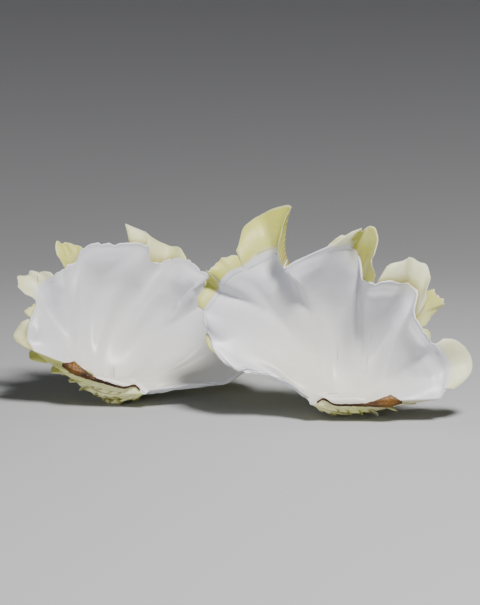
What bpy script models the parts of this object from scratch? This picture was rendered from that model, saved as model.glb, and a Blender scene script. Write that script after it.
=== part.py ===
"""Fluted giant clam shell, both halves standing open with the hollow sides to the front. Sizes below in mm."""
from dataclasses import dataclass

import bmesh
import bpy
import numpy as np
from mathutils import Matrix

for old in list(bpy.data.objects):
    bpy.data.objects.remove(old, do_unlink=True)
collection = bpy.data.collections.new("giant_clam_shell")
bpy.context.scene.collection.children.link(collection)

MM = 0.001

# Growth of a half about its beak: turn in radians over (1 - size), and the cheeks at both ends
COIL = (1.2, 3.9, -3.35)
FRONT_COIL = 0.48
TIP_SIZE = 0.05
BULGE_HINGE_END = 13.0
BULGE_FRONT_END = 7.0

# Wall
RIM_THICK = 3.4
WALL_THICK = 6.5
UMBO_THICK = 16.0
FOLD_FADE_FROM = 0.42

# Hinge
HINGE_REACH = 62.0
HINGE_START = -5.0
PLATE_WIDTH = 13.0
HUMP_PLACE = 12.0
HUMP_WIDTH = 9.0
HUMP_HEIGHT = 7.5
LIGAMENT_PLACES = (4, 9, 15, 22, 30, 40, 52, 64, 74, 83, 90, 96, 103, 110)
LIGAMENT_HEIGHTS = (1.2, 1.2, 1.2, 1.2, 1.4, 1.4, 1.6, 2.6, 4.2, 6.6, 9.0, 11.0, 6.0, 1.0)
LIGAMENT_THICKS = (1.2, 1.4, 1.6, 1.8, 2.0, 2.4, 2.8, 3.2, 3.6, 4.0, 4.2, 4.0, 2.8, 1.2)

# Scales
SCALE_THICK = 2.6
SCALE_EDGE = 1.5
SCALE_ROOT = 1.3
GAP = 0.3

# Grid
AROUND = 58
OUTER_ROWS = 12
SCALE_ACROSS = 5
SCALE_ALONG = 3
MOST_TRIANGLES = 4700

# Edge of the half on the photo's right, from the hinge's far end round the opening to the beak
LEFT_EDGE = (
    (158, 7, 1), (167, 22, -2), (171, 48, -14), (157, 73, -2), (142, 90, 6), (130, 114, 0),
    (136, 149, -22), (123, 158, -16), (108, 157, 2), (88, 157, 8), (67, 157, 2), (64, 187, -22),
    (55, 205, -10), (40, 207, 10), (9, 196, 10), (-16, 186, 6), (-37, 174, 1), (-33, 191, -17),
    (-51, 195, -26), (-69, 187, -16), (-87, 176, -2), (-105, 167, 6), (-117, 154, 6),
    (-119, 145, -11), (-129, 130, -7), (-139, 116, 0), (-139, 105, 0), (-131, 85, -6),
    (-125, 67, 0), (-111, 51, 3), (-88, 44, 3), (-62, 36, 2), (-35, 26, 1), (-15, 15, 0),
)
# Edge of the other half, in its own mirrored frame
RIGHT_EDGE = (
    (154, 14, 1), (164, 28, 0), (168, 49, 6), (169, 74, 2), (175, 105, -10), (168, 118, -6),
    (153, 132, 8), (148, 152, -6), (140, 161, -8), (137, 177, 0), (124, 188, 8), (88, 201, 10),
    (53, 213, 6), (42, 200, -14), (20, 213, -18), (-2, 212, -2), (-27, 198, 6), (-40, 193, 6),
    (-35, 183, -6), (-50, 181, -17), (-84, 191, -12), (-119, 173, 4), (-140, 151, 2),
    (-134, 131, -7), (-139, 108, 1), (-123, 73, 2), (-102, 46, 2), (-69, 33, 1), (-40, 17, 1), (-15, 8, 0),
)


@dataclass(frozen=True)
class Scale:
    """One leaf-like scale: its stretch of the edge, size of the shell when it grew, reach, tilt and lean."""

    start: float
    stop: float
    size: float
    reach: tuple
    tilt: tuple = (14, 70)
    spread: float = 0.15
    lean: float = 0.0


def smooth(value):
    value = np.clip(value, 0.0, 1.0)
    return value * value * (3 - 2 * value)


class Curve:
    """Smooth curve through points, for any share of its length from 0 to 1."""

    def __init__(self, points, bend=0.5):
        self.points = np.asarray(points, float)
        steps = np.linalg.norm(np.diff(self.points, axis=0), axis=1) ** bend
        self.knots = np.concatenate([[0.0], np.cumsum(steps)]) / steps.sum()
        gaps = np.diff(self.knots)[:, None]
        rises = np.diff(self.points, axis=0) / gaps
        inner = (rises[:-1] * gaps[1:] + rises[1:] * gaps[:-1]) / (gaps[1:] + gaps[:-1])
        self.slopes = np.concatenate([rises[:1], inner, rises[-1:]])

    def at(self, share):
        share = np.clip(share, 0.0, 1.0)
        k = np.clip(np.searchsorted(self.knots, share, side="right") - 1, 0, len(self.knots) - 2)
        gap = (self.knots[k + 1] - self.knots[k])[..., None]
        t = (share - self.knots[k])[..., None] / gap
        a = (1 + 2 * t) * (1 - t) ** 2 * self.points[k] + t * (1 - t) ** 2 * gap * self.slopes[k]
        b = t * t * (3 - 2 * t) * self.points[k + 1] + t * t * (t - 1) * gap * self.slopes[k + 1]
        return a + b


def unit(vectors):
    return vectors / np.maximum(np.linalg.norm(vectors, axis=-1, keepdims=True), 1e-9)


def coiled(points, share, size):
    """The edge's points at an earlier size: shrunk, and turned back about the hinge, less so to the front."""
    young = 1 - size
    turn = COIL[0] * young + COIL[1] * young**2 + COIL[2] * young**3
    turn = turn * (1 - (1 - FRONT_COIL) * smooth((share - 0.25) / 0.4))
    x, y, z = np.moveaxis(points, -1, 0)
    cos, sin = np.cos(turn), np.sin(turn)
    return size[..., None] * np.stack([x * np.ones_like(turn), y * cos + z * sin, z * cos - y * sin], -1)


def hinge_edge(x):
    """The hinge side's front edge, with its hump beside the beak, up to the far corner's height."""
    rise = HUMP_HEIGHT * np.exp(-(((x - HUMP_PLACE) / HUMP_WIDTH) ** 2))
    return np.stack([x, 0.4 + rise, np.full_like(x, 0.6)], -1)


class Half:
    """Surfaces of one half in its own frame: X along the hinge, Y to the opening, Z to the hollow side."""

    def __init__(self, edge):
        self.edge = Curve(edge)
        shares = np.linspace(0, 1, 241)
        fine = self.edge.at(shares)
        reach = np.abs(shares[:, None] - shares[None, :])
        weight = np.exp(-0.5 * (reach / 0.055) ** 2) * np.minimum(1, 20 * np.minimum(shares, 1 - shares))[None, :]
        weight += 1e-6
        soft = weight @ fine / weight.sum(1, keepdims=True)
        hold = smooth(np.minimum(shares, 1 - shares) / 0.09)[:, None]
        self.soft = Curve(fine * (1 - hold) + soft * hold, bend=0.01)
        self.soft.knots = shares

    def columns(self):
        """Shares of the edge for the grid's columns: each named point, and more where they are far apart."""
        shares = list(self.edge.knots)
        while len(shares) < AROUND:
            gaps = np.diff(shares)
            widest = int(np.argmax(gaps))
            shares.insert(widest + 1, (shares[widest] + shares[widest + 1]) / 2)
        return np.array(shares)

    def bulge(self, share, size):
        ends = BULGE_HINGE_END * np.exp(-((share / 0.14) ** 2))
        ends = ends + BULGE_FRONT_END * np.exp(-(((1 - share) / 0.16) ** 2))
        return (4 * size * (1 - size) * ends)[..., None] * np.array([0.0, -0.4, -0.9])

    def outside(self, share, size):
        share, size = np.broadcast_arrays(np.asarray(share, float), np.asarray(size, float))
        return coiled(self.edge.at(share), share, size) + self.bulge(share, size)

    def frame(self, share, size):
        """Growth direction, direction along the edge and outward normal of the outside."""
        step = 0.002
        grow = unit(self.outside(share, size + step) - self.outside(share, size - step))
        along = unit(self.outside(share + step, size) - self.outside(share - step, size))
        return grow, along, unit(np.cross(along, grow))

    def hollow(self, share, size):
        """The inside before its thickness: folds fade toward the beak, and both ends stay flat."""
        share, size = np.broadcast_arrays(np.asarray(share, float), np.asarray(size, float))
        fold = smooth((size - FOLD_FADE_FROM) / (1 - FOLD_FADE_FROM))[..., None]
        shape = self.soft.at(share) * (1 - fold) + self.edge.at(share) * fold
        ends = (smooth(share / 0.07) * smooth((1 - share) / 0.12))[..., None]
        curled = coiled(shape, share, size) + self.bulge(share, size)
        return curled * ends + size[..., None] * shape * (1 - ends)

    def inside_keys(self, share):
        """Rows of the inside from the hinge to the rim."""
        sizes = np.array([0.46, 0.6, 0.74, 0.86, 0.94, 0.98, 1.0])
        grid = self.hollow(share[None, :], sizes[:, None])
        across = np.gradient(grid, axis=1)
        down = np.gradient(grid, sizes, axis=0)
        normal = unit(np.cross(down, across))
        normal = np.where((normal[..., 2:3] < -0.2) & (normal[..., 1:2] < 0), -normal, normal)
        for _ in range(2):
            padded = np.concatenate([normal[:, :1], normal, normal[:, -1:]], axis=1)
            normal = unit(padded[:, :-2] + 2 * padded[:, 1:-1] + padded[:, 2:])
        young = 1 - sizes
        thick = RIM_THICK + (WALL_THICK - RIM_THICK) * smooth(young / 0.2)
        thick = thick + (UMBO_THICK - WALL_THICK) * smooth((young - 0.12) / 0.45)
        span = np.clip(np.linalg.norm(self.edge.at(share), axis=-1) / 130, 0.1, 1.0)
        ends = 0.12 + 0.88 * smooth(share / 0.08)
        skin = grid + normal * (thick[:, None] * (span * ends)[None, :])[..., None]
        x = HINGE_REACH + (HINGE_START - HINGE_REACH) * share
        hinge = hinge_edge(x)
        way = skin[0] - hinge
        flat = unit(way * np.array([1.0, 1.0, 0.0]))
        width = np.minimum(PLATE_WIDTH, 0.45 * np.linalg.norm(way, axis=-1))[:, None]
        up = np.array([0.0, 0.0, 1.0])
        first = hinge + flat * width * 0.4 + up * 0.6
        lip = hinge + flat * width - up * 0.12 * width
        wall = lip * 0.62 + skin[0] * 0.38 + flat * width * -0.25 - up * width * 0.35
        return np.concatenate([[hinge, first, lip, wall], skin])

    def inside(self, share, rows):
        keys = self.inside_keys(share)
        places = np.linspace(0, len(keys) - 1, rows)
        k = np.clip(places.astype(int), 0, len(keys) - 2)
        t = (places - k)[:, None, None]
        slope = np.gradient(keys, axis=0)
        a = (1 + 2 * t) * (1 - t) ** 2 * keys[k] + t * (1 - t) ** 2 * slope[k]
        return a + t * t * (3 - 2 * t) * keys[k + 1] + t * t * (t - 1) * slope[k + 1]


def strip(first, second):
    """Triangles between two chains of corners, walked evenly."""
    faces, i, j = [], 0, 0
    while i < len(first) - 1 or j < len(second) - 1:
        ahead = (i + 1) / (len(first) - 1)
        if j == len(second) - 1 or (i < len(first) - 1 and ahead <= (j + 1) / (len(second) - 1)):
            faces.append((first[i], first[i + 1], second[j]))
            i += 1
        else:
            faces.append((first[i], second[j + 1], second[j]))
            j += 1
    return faces


def quads(ids):
    a, b, c, d = ids[:-1, :-1], ids[:-1, 1:], ids[1:, 1:], ids[1:, :-1]
    return np.stack([a, b, c, d], -1).reshape(-1, 4).tolist()


def wall_mesh(half, share):
    """The closed body of a half: outside, rim, inside and the hinge side."""
    sizes = TIP_SIZE + (1 - TIP_SIZE) * np.linspace(0, 1, OUTER_ROWS) ** 0.85
    outer = half.outside(share[None, :], sizes[:, None])
    inner = half.inside(share, 11)
    points = np.concatenate([outer.reshape(-1, 3), inner.reshape(-1, 3), [[-1.0, -0.5, -2.0]]])
    out_ids = np.arange(outer[..., 0].size).reshape(outer.shape[:2])
    in_ids = out_ids.size + np.arange(inner[..., 0].size).reshape(inner.shape[:2])
    tip = len(points) - 1
    faces = quads(out_ids) + quads(in_ids)
    faces += quads(np.stack([out_ids[-1], in_ids[-1]]))
    faces += [(tip, a, b) for a, b in zip(out_ids[0][:-1].tolist(), out_ids[0][1:].tolist())]
    hinge_side = np.concatenate([in_ids[0][::-1], in_ids[1:, 0]]).tolist()
    faces += strip([tip] + out_ids[:, 0].tolist(), hinge_side)
    faces += strip([tip] + out_ids[:, -1].tolist(), in_ids[:, -1].tolist())
    return points, faces


def ligament_mesh(half):
    """The dried ligament: a bead with an L section, over the hinge side's edge and under it, with a raised end."""
    corner = half.edge.points[0]
    sizes = np.linspace(0, 1, 200)
    low = half.outside(np.zeros(200), sizes)
    rings = []
    for x, height, thick in zip(LIGAMENT_PLACES, LIGAMENT_HEIGHTS, LIGAMENT_THICKS):
        edge = hinge_edge(np.array([float(x)]))[0]
        if x > HINGE_REACH:
            part = (x - HINGE_REACH) / (corner[0] - HINGE_REACH)
            edge = edge * (1 - part) + np.array([x, corner[1], corner[2] + 0.5]) * part
        back = np.array([x, np.interp(x, low[:, 0], low[:, 1]), np.interp(x, low[:, 0], low[:, 2])]) - edge
        width = min(0.5 * np.linalg.norm(back), 7.0)
        back = back / np.linalg.norm(back)
        down = np.array([0.0, back[2], -back[1]])
        front = edge[2] + 0.7 + GAP
        heel = edge + down * (GAP + 0.25)
        rings.append([
            (x, edge[1] + height, front), (x, edge[1] + height, front + 0.45 * thick + 0.5),
            (x, edge[1] + 0.5 * height, front + 0.8 * thick + 0.5),
            tuple(edge + down * thick * 0.8 + np.array([0, 0, thick])),
            tuple(heel + back * width + down * thick), tuple(heel + back * width), tuple(heel),
            (x, edge[1] + min(0.3, height * 0.3) - 0.2, front),
        ])
    points = np.array(rings).reshape(-1, 3)
    ids = np.arange(len(points)).reshape(len(rings), -1)
    faces = quads(np.concatenate([ids, ids[:, :1]], axis=1))
    return points, faces + [ids[0].tolist(), ids[-1].tolist()]


def scale_mesh(half, scale, share):
    """A closed curved leaf whose root lies in the wall."""
    inner = share[(share > scale.start + 0.004) & (share < scale.stop - 0.004)]
    if len(inner) > SCALE_ACROSS - 1:
        inner = inner[np.linspace(0, len(inner) - 1, SCALE_ACROSS - 1).astype(int)]
    u = np.concatenate([[scale.start], inner, [scale.stop]])
    c = (u - u[0]) / (u[-1] - u[0]) * 2 - 1
    root = 0.035
    low = np.full_like(u, scale.size - root)
    base = half.outside(u, low)
    grow, along, normal = half.frame(u, low)
    mid_grow, mid_normal = unit(grow.mean(0)), unit(normal.mean(0))
    grow = unit(0.5 * grow + 0.5 * mid_grow)
    normal = 0.5 * normal + 0.5 * mid_normal
    normal = unit(normal - grow * (normal * grow).sum(-1, keepdims=True))
    side = unit(np.cross(mid_grow, mid_normal))
    side = side if (along.mean(0) @ side) > 0 else -side
    reach = np.interp(c, np.linspace(-1, 1, len(scale.reach)), scale.reach)
    rooted = np.linalg.norm(half.outside(u, low + root) - base, axis=-1)
    t = np.linspace(0, 1, SCALE_ALONG + 1)
    total = rooted + reach
    past = np.clip((t[:, None] * total - rooted * 0.8) / np.maximum(reach, 1), 0, 1)
    tilt = np.radians(scale.tilt[0] * smooth(t * 4)[:, None] + (scale.tilt[1] - scale.tilt[0]) * past)
    fan = (scale.spread * c + scale.lean)[None, :, None] * past[..., None]
    step = np.cos(tilt)[..., None] * grow + np.sin(tilt)[..., None] * normal + fan * side
    path = np.concatenate([np.zeros_like(step[:1]), np.cumsum((step[1:] + step[:-1]) / 2, axis=0) / SCALE_ALONG])
    sheet = base + path * total[None, :, None] - normal * SCALE_ROOT
    across, down = np.gradient(sheet, axis=1), np.gradient(sheet, axis=0)
    face = unit(np.cross(across, down))
    thick = SCALE_THICK + (SCALE_EDGE - SCALE_THICK) * t[:, None, None]
    points = np.concatenate([(sheet + face * thick / 2).reshape(-1, 3), (sheet - face * thick / 2).reshape(-1, 3)])
    top = np.arange(sheet[..., 0].size).reshape(sheet.shape[:2])
    under = top + top.size
    loop = np.concatenate([top[0], top[1:, -1], top[-1, -2::-1], top[-2:0:-1, 0]])
    faces = quads(top) + quads(under)
    faces += [(a, b, b + top.size, a + top.size) for a, b in zip(loop.tolist(), np.roll(loop, -1).tolist())]
    return points, faces


# Scales at the edge, where the photo shows them, then the rows that go back along each rib
LEFT_EDGE_SCALES = (
    Scale(0.012, 0.094, 1.0, (8, 26, 33, 29, 10), (4, 40), 0.1),
    Scale(0.140, 0.200, 0.985, (3, 22, 30, 24, 6), (10, 46), 0.1, -0.25),
    Scale(0.192, 0.290, 1.0, (6, 26, 36, 34, 8), (6, 48), 0.15, -0.1),
    Scale(0.310, 0.395, 0.95, (8, 26, 50, 58, 30), (6, 42), 0.1, -0.12),
    Scale(0.503, 0.640, 1.0, (20, 62, 70, 52, 28), (0, 40), 0.08, -0.05),
    Scale(0.650, 0.780, 1.0, (10, 22, 27, 18, 5), (4, 46), 0.1, 0.05),
    Scale(0.797, 0.842, 0.99, (2, 8, 3), (10, 50), 0.1),
)
LEFT_RIBS = ((0.055, 0.038), (0.205, 0.046), (0.345, 0.042), (0.570, 0.052), (0.722, 0.034), (0.818, 0.026))
RIGHT_EDGE_SCALES = (
    Scale(0.004, 0.058, 1.0, (5, 17, 18, 14, 5), (4, 40), 0.1),
    Scale(0.070, 0.105, 0.995, (3, 12, 4), (8, 46), 0.1),
    Scale(0.112, 0.196, 1.0, (6, 20, 24, 22, 6), (5, 42), 0.2),
    Scale(0.212, 0.300, 0.97, (8, 28, 38, 24, 6), (6, 44), 0.15, 0.12),
    Scale(0.385, 0.510, 0.985, (18, 26, 32, 22, 6), (6, 44), 0.12, 0.15),
    Scale(0.570, 0.700, 1.0, (6, 18, 24, 20, 8), (6, 60), 0.1),
    Scale(0.750, 0.800, 1.0, (3, 14, 4), (8, 60), 0.1),
)
RIGHT_RIBS = ((0.030, 0.030), (0.145, 0.044), (0.245, 0.040), (0.450, 0.050), (0.640, 0.048), (0.775, 0.030))
# The scales behind that the halves rest on, in place of a scale of the last row
LEFT_FEET = (Scale(0.309, 0.381, 0.418, (5, 23, 28, 23, 5), (20, 75), 0.22),)
RIGHT_FEET = (Scale(0.408, 0.492, 0.43, (5, 21, 25, 21, 5), (20, 60), 0.22),)
ROW_SIZES = (0.83, 0.68, 0.55, 0.43)
ROW_REACH = 34.0
ROW_SEED = 7


def rib_rows(ribs, feet, seed):
    """The scales that go back along every rib, each row smaller than the last, and the feet in their places."""
    rng = np.random.default_rng(seed)
    scales = list(feet)
    for centre, half_width in ribs:
        drift = rng.uniform(-0.02, 0.02)
        for size in ROW_SIZES:
            reach = ROW_REACH * (half_width / 0.045) ** 0.5 * size**1.6 * rng.uniform(0.85, 1.15)
            shape = tuple(reach * k for k in (0.15, 0.85, 1.0, 0.8, 0.15))
            lean = rng.uniform(-0.1, 0.1)
            if size == ROW_SIZES[-1] and any(foot.start < centre < foot.stop for foot in feet):
                continue
            start, stop = centre - half_width * 0.85, centre + half_width * 0.85
            scales.append(Scale(start, stop, size + drift, shape, (20, 40 + 34 * size), 0.22, lean))
    return scales


@dataclass(frozen=True)
class Pose:
    """How a half stands: angles in degrees, its beak's place, and -1 for the mirrored half."""

    lean: float
    turn: float
    roll: float
    beak: tuple
    mirror: float = 1.0

    def rotation(self):
        """Its own X, Y and Z turned to the leaning, turned and rolled stand."""
        rolled = Matrix.Rotation(np.radians(self.roll), 3, "Z")
        stood = Matrix.Rotation(np.radians(90 - self.lean), 3, "X")
        turned = Matrix.Rotation(np.radians(self.turn), 3, "Z")
        return turned @ stood @ rolled


def make_object(name, points, faces, pose, parent=None):
    """A mesh object in metres with its faces turned outward, placed at its pose or with its parent."""
    data = bpy.data.meshes.new(name)
    points = points * np.array([pose.mirror, 1.0, 1.0]) * MM
    data.from_pydata(points.tolist(), [], faces)
    bm = bmesh.new()
    bm.from_mesh(data)
    bmesh.ops.remove_doubles(bm, verts=bm.verts, dist=0.00002)
    bmesh.ops.triangulate(bm, faces=bm.faces)
    bmesh.ops.recalc_face_normals(bm, faces=bm.faces)
    bm.to_mesh(data)
    bm.free()
    obj = bpy.data.objects.new(name, data)
    collection.objects.link(obj)
    if parent:
        obj.parent = parent
    else:
        obj.location = [place * MM for place in pose.beak]
        obj.rotation_euler = pose.rotation().to_euler()
    return obj


LEFT_POSE = Pose(20.0, 0.0, 0.0, (92.4, -113.0, 23.4))
RIGHT_POSE = Pose(36.5, 12.0, -21.0, (-126.6, -47.0, 21.4), -1.0)


def material(name, colour, roughness):
    made = bpy.data.materials.new(name)
    made.use_nodes = True
    shader = made.node_tree.nodes["Principled BSDF"]
    shader.inputs["Base Color"].default_value = (*colour, 1)
    shader.inputs["Roughness"].default_value = roughness
    shader.inputs["Metallic"].default_value = 0.0
    return made


def evaluated(obj):
    """The object's mesh with its modifiers applied."""
    graph = bpy.context.evaluated_depsgraph_get()
    return bpy.data.meshes.new_from_object(obj.evaluated_get(graph))


def fuse(shell, leaf):
    """Join a scale to the shell as one solid, and drop the loose scale."""
    bpy.context.view_layer.update()
    join = shell.modifiers.new("join", "BOOLEAN")
    join.operation = "UNION"
    join.solver = "MANIFOLD"
    join.object = leaf
    shell.data = evaluated(shell)
    shell.modifiers.clear()
    bpy.data.objects.remove(leaf, do_unlink=True)


def thin_out(shell):
    """Fewer triangles, where the surface is nearly flat."""
    count = sum(len(face.vertices) - 2 for face in shell.data.polygons)
    fewer = shell.modifiers.new("fewer", "DECIMATE")
    fewer.ratio = min(1.0, MOST_TRIANGLES / count)
    shell.data = evaluated(shell)
    shell.modifiers.clear()


def build_half(name, edge, edge_scales, ribs, feet, pose, seed, surface, bead_surface):
    half = Half(edge)
    share = half.columns()
    shell = make_object(f"{name}_valve", *wall_mesh(half, share), pose)
    for scale in list(edge_scales) + rib_rows(ribs, feet, seed):
        fuse(shell, make_object("scale", *scale_mesh(half, scale, share), pose))
    thin_out(shell)
    shell.data.materials.append(surface)
    bead = make_object(f"{name}_ligament", *ligament_mesh(half), pose, parent=shell)
    bead.data.materials.append(bead_surface)


if __name__ == "__main__":
    porcelain = material("shell", (0.86, 0.85, 0.80), 0.35)
    horn = material("ligament", (0.30, 0.13, 0.05), 0.55)
    build_half("left", LEFT_EDGE, LEFT_EDGE_SCALES, LEFT_RIBS, LEFT_FEET, LEFT_POSE, ROW_SEED, porcelain, horn)
    build_half("right", RIGHT_EDGE, RIGHT_EDGE_SCALES, RIGHT_RIBS, RIGHT_FEET, RIGHT_POSE, ROW_SEED + 1,
               porcelain, horn)
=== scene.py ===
"""Dressed model of a fluted giant clam shell: both halves stand open on a pale floor, hollow sides forward.

Each half is grown again from the same edge as its solid, as one finer skin with ribs, growth steps, leaf
scales and hinge teeth, and each dried ligament gets a crusty skin. Sizes are in mm unless a comment says
otherwise.
"""
import logging
import math
from dataclasses import dataclass, field, replace
from enum import Enum

import bpy
import numpy as np
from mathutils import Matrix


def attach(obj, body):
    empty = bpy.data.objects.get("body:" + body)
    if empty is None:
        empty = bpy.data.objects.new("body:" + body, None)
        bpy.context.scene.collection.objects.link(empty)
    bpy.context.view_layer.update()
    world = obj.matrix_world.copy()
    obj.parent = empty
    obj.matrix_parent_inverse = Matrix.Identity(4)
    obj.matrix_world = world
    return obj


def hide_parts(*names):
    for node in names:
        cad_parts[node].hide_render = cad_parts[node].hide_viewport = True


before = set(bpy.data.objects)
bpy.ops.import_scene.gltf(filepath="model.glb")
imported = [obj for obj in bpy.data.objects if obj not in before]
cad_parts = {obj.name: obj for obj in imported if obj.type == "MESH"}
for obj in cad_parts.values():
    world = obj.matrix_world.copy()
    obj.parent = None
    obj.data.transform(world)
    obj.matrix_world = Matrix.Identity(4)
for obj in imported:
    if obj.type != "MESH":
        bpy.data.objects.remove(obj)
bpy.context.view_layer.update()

MM = 0.001
LOG = logging.getLogger("clam")
Triple = tuple[float, float, float]
Socket = bpy.types.NodeSocket

# Growth of a half about its beak, as in the solids
COIL = (1.2, 3.9, -3.35)
FRONT_COIL = 0.48
FRONT_COIL_FROM = 0.25
FRONT_COIL_OVER = 0.4
TIP_SIZE = 0.05
BEAK_TIP = (-1.0, -0.5, -2.0)
SOFT_WIDTH = 0.055
HINGE_END_BULGE = (0.0, -5.2, -11.7)
HINGE_END_WIDTH = 0.14
FRONT_END_BULGE = (0.0, 0.0, -5.0)
FRONT_END_WIDTH = 0.13
BELLY_PLACE = 0.83
BELLY_WIDTH = 0.12
RIB_TWIST = 0.26
RIB_TWIST_ENDS = (0.3, 0.42)

# Thickness, lip and folds of the inside
RIM_THICK = 2.8
RIM_ROUND = 0.42
WALL_THICK = 6.5
UMBO_THICK = 16.0
LEAST_WALL = 2.4
WALL_SEARCH = 12
WALL_ROUNDS = 6
EVENING_ROUNDS = 70
LOBE_FADE_FROM = 0.66
LIP_PROUD = 5.0
LIP_SIZE = 0.92
LIP_WIDTH = 0.05
FOLD_END_FROM = 0.885
FOLD_END_OVER = 0.085
KEY_SIZES = (0.46, 0.6, 0.74, 0.83, 0.89, 0.94, 0.98, 1.0)

# Hinge side: its reach along the hinge, the hump beside the beak, and the plate
HINGE_REACH = 62.0
HINGE_START = -5.0
HUMP_HEIGHT = 7.5
HUMP_PLACE = 12.0
HUMP_WIDTH = 9.0
PLATE_WIDTH = 13.0
PLATE_SIZES = (0.06, 0.12, 0.22, 0.34)
TOOTH_WIDTH = 2.6

# Grids of the finer skins
ACROSS = 270
OUTER_ROWS = 118
INNER_ROWS = 112
RIM_ROWS = 4
WALL_ROWS = 120
LEAF_ACROSS = 34
LEAF_ALONG = 30

# Fine forms of the outside, and the worn zone at the edge
RIBLETS = 28
RIBLET_DEPTH = 1.5
RIBLET_SWAY = 0.25
GROOVE_WIDTH = 0.34
GROWTH_STEPS = 17
STEP_HEIGHT = 0.9
STEP_POWER = 1.25
WORN_FROM = 0.965
EDGE_LENGTH = 700.0
WEAR_DEPTH = 0.9
WEAR_WAVE = 26.0
CHIP_DEPTH = 4.0
CHIP_WAVE = 15.0

# Scales: their roots, their stand off the floor, their relief, and the outlines of those on the ribs
LEAF_ROOT = 0.022
ROOT_DEPTH = 0.95
FLOOR_CLEAR = 0.3
PLEAT_HEIGHT = 0.55
BACK_LINES = 0.3
FRONT_LINES = 0.05
ROW_OUTLINE = (0.15, 0.85, 1.0, 0.8, 0.15)
SPINE_OUTLINE = (0.15, 0.55, 1.0, 0.55, 0.15)

# Edge of the half on the right, from the hinge's far end round the opening to the beak
LEFT_EDGE = (
    (158, 7, 1), (167, 22, -2), (171, 48, -14), (157, 73, -2), (142, 90, 6), (130, 114, 0),
    (136, 149, -22), (123, 158, -16), (108, 157, 2), (88, 157, 8), (67, 157, 2), (64, 187, -21),
    (55, 204, -11), (39, 207, 10), (9, 196, 10), (-16, 186, 6), (-37, 174, 1), (-33, 190, -12),
    (-51, 195, -18), (-69, 187, -11), (-87, 176, -1), (-105, 167, 6), (-117, 155, 6),
    (-119, 148, -9), (-129, 132, -1), (-139, 116, 3), (-139, 105, 3), (-131, 85, -4),
    (-125, 67, 0), (-111, 51, 3), (-88, 43, 3), (-61, 39, 2), (-33, 29, 1), (-15, 15, 0),
)
# Edge of the other half, in its own mirrored frame
RIGHT_EDGE = (
    (154, 14, 1), (164, 28, 0), (168, 49, 6), (169, 74, 2), (175, 105, -10), (168, 118, -6),
    (153, 132, 8), (148, 152, -6), (140, 161, -8), (137, 177, 0), (124, 188, 8), (88, 201, 10),
    (53, 213, 6), (42, 200, -14), (20, 213, -18), (-2, 212, -2), (-27, 198, 6), (-40, 193, 6),
    (-35, 183, -6), (-50, 181, -17), (-84, 191, -12), (-119, 173, 4), (-140, 151, 2),
    (-134, 131, -7), (-139, 108, 1), (-123, 73, 2), (-102, 47, 2), (-68, 36, 1), (-38, 21, 1), (-15, 10, 0),
)


class Skin(Enum):
    """The finishes on a half, by their material slot."""

    INSIDE = 0
    OUTSIDE = 1
    LEAF = 2
    LEAF_BACK = 3
    GROWING_LEAF = 4


def eased(value: np.ndarray | float) -> np.ndarray:
    """Return the value held between 0 and 1 and eased at both ends, 3v² - 2v³."""
    held = np.clip(value, 0.0, 1.0)
    return held * held * (3 - 2 * held)


def bell(away: np.ndarray) -> np.ndarray:
    """Return a bell of height one, exp(-a²), where a is the distance from its middle in widths."""
    return np.exp(-(away**2))


def worn(size: np.ndarray) -> np.ndarray:
    """Return 0 up to where the worn zone starts and 1 at the edge."""
    return eased((size - WORN_FROM) / (1 - WORN_FROM))


def unit(vectors: np.ndarray) -> np.ndarray:
    """Return the vectors with a length of one."""
    return vectors / np.maximum(np.linalg.norm(vectors, axis=-1, keepdims=True), 1e-9)


def ripple(points: np.ndarray, wave: float, seed: int, octaves: int = 3) -> np.ndarray:
    """Gentle noise: sines along six random directions, summed, each octave half as long and half as high.

    Args:
        points: Places in mm, with the coordinates last.
        wave: Longest wave in mm.
        seed: Seed of the directions and phases.
        octaves: How many times the waves are halved.

    Returns:
        One value a point, mostly between -1 and 1.
    """
    rng = np.random.default_rng(seed)
    total = np.zeros(points.shape[:-1])
    for octave in range(octaves):
        ways = unit(rng.normal(size=(6, points.shape[-1]))) * (2 * math.pi * 2**octave / wave)
        phases = rng.uniform(0, 2 * math.pi, 6)
        total = total + np.sin(points @ ways.T + phases).sum(-1) * 0.41 * 0.5**octave
    return total


def cubic(t: np.ndarray, start: np.ndarray, stop: np.ndarray, start_slope: np.ndarray,
          stop_slope: np.ndarray) -> np.ndarray:
    """The cubic that leaves one value and meets the next with given slopes, by the four usual weights.

    Args:
        t: The way between the two values, from 0 to 1.
        start: Value at 0.
        stop: Value at 1.
        start_slope: Slope at 0.
        stop_slope: Slope at 1.

    Returns:
        The cubic's value at each t.
    """
    near = (1 + 2 * t) * (1 - t) ** 2 * start + t * (1 - t) ** 2 * start_slope
    return near + t * t * (3 - 2 * t) * stop + t * t * (t - 1) * stop_slope


def neighbours(grid: np.ndarray) -> np.ndarray:
    """Return the mean of the four neighbours of each inner point of a grid."""
    return (grid[:-2, 1:-1] + grid[2:, 1:-1] + grid[1:-1, :-2] + grid[1:-1, 2:]) / 4


def along_line(values: tuple[float, ...], place: np.ndarray) -> np.ndarray:
    """Smooth curve through evenly spaced values, a cubic a stretch, with slopes from the neighbouring values.

    Args:
        values: The values, first at place 0 and last at place 1.
        place: Where to read the curve, from 0 to 1.

    Returns:
        The curve's value at each place.
    """
    table = np.asarray(values, float)
    slope = np.gradient(table)
    spot = np.clip(place, 0, 1) * (len(table) - 1)
    k = np.clip(spot.astype(int), 0, len(table) - 2)
    return cubic(spot - k, table[k], table[k + 1], slope[k], slope[k + 1])


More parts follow.
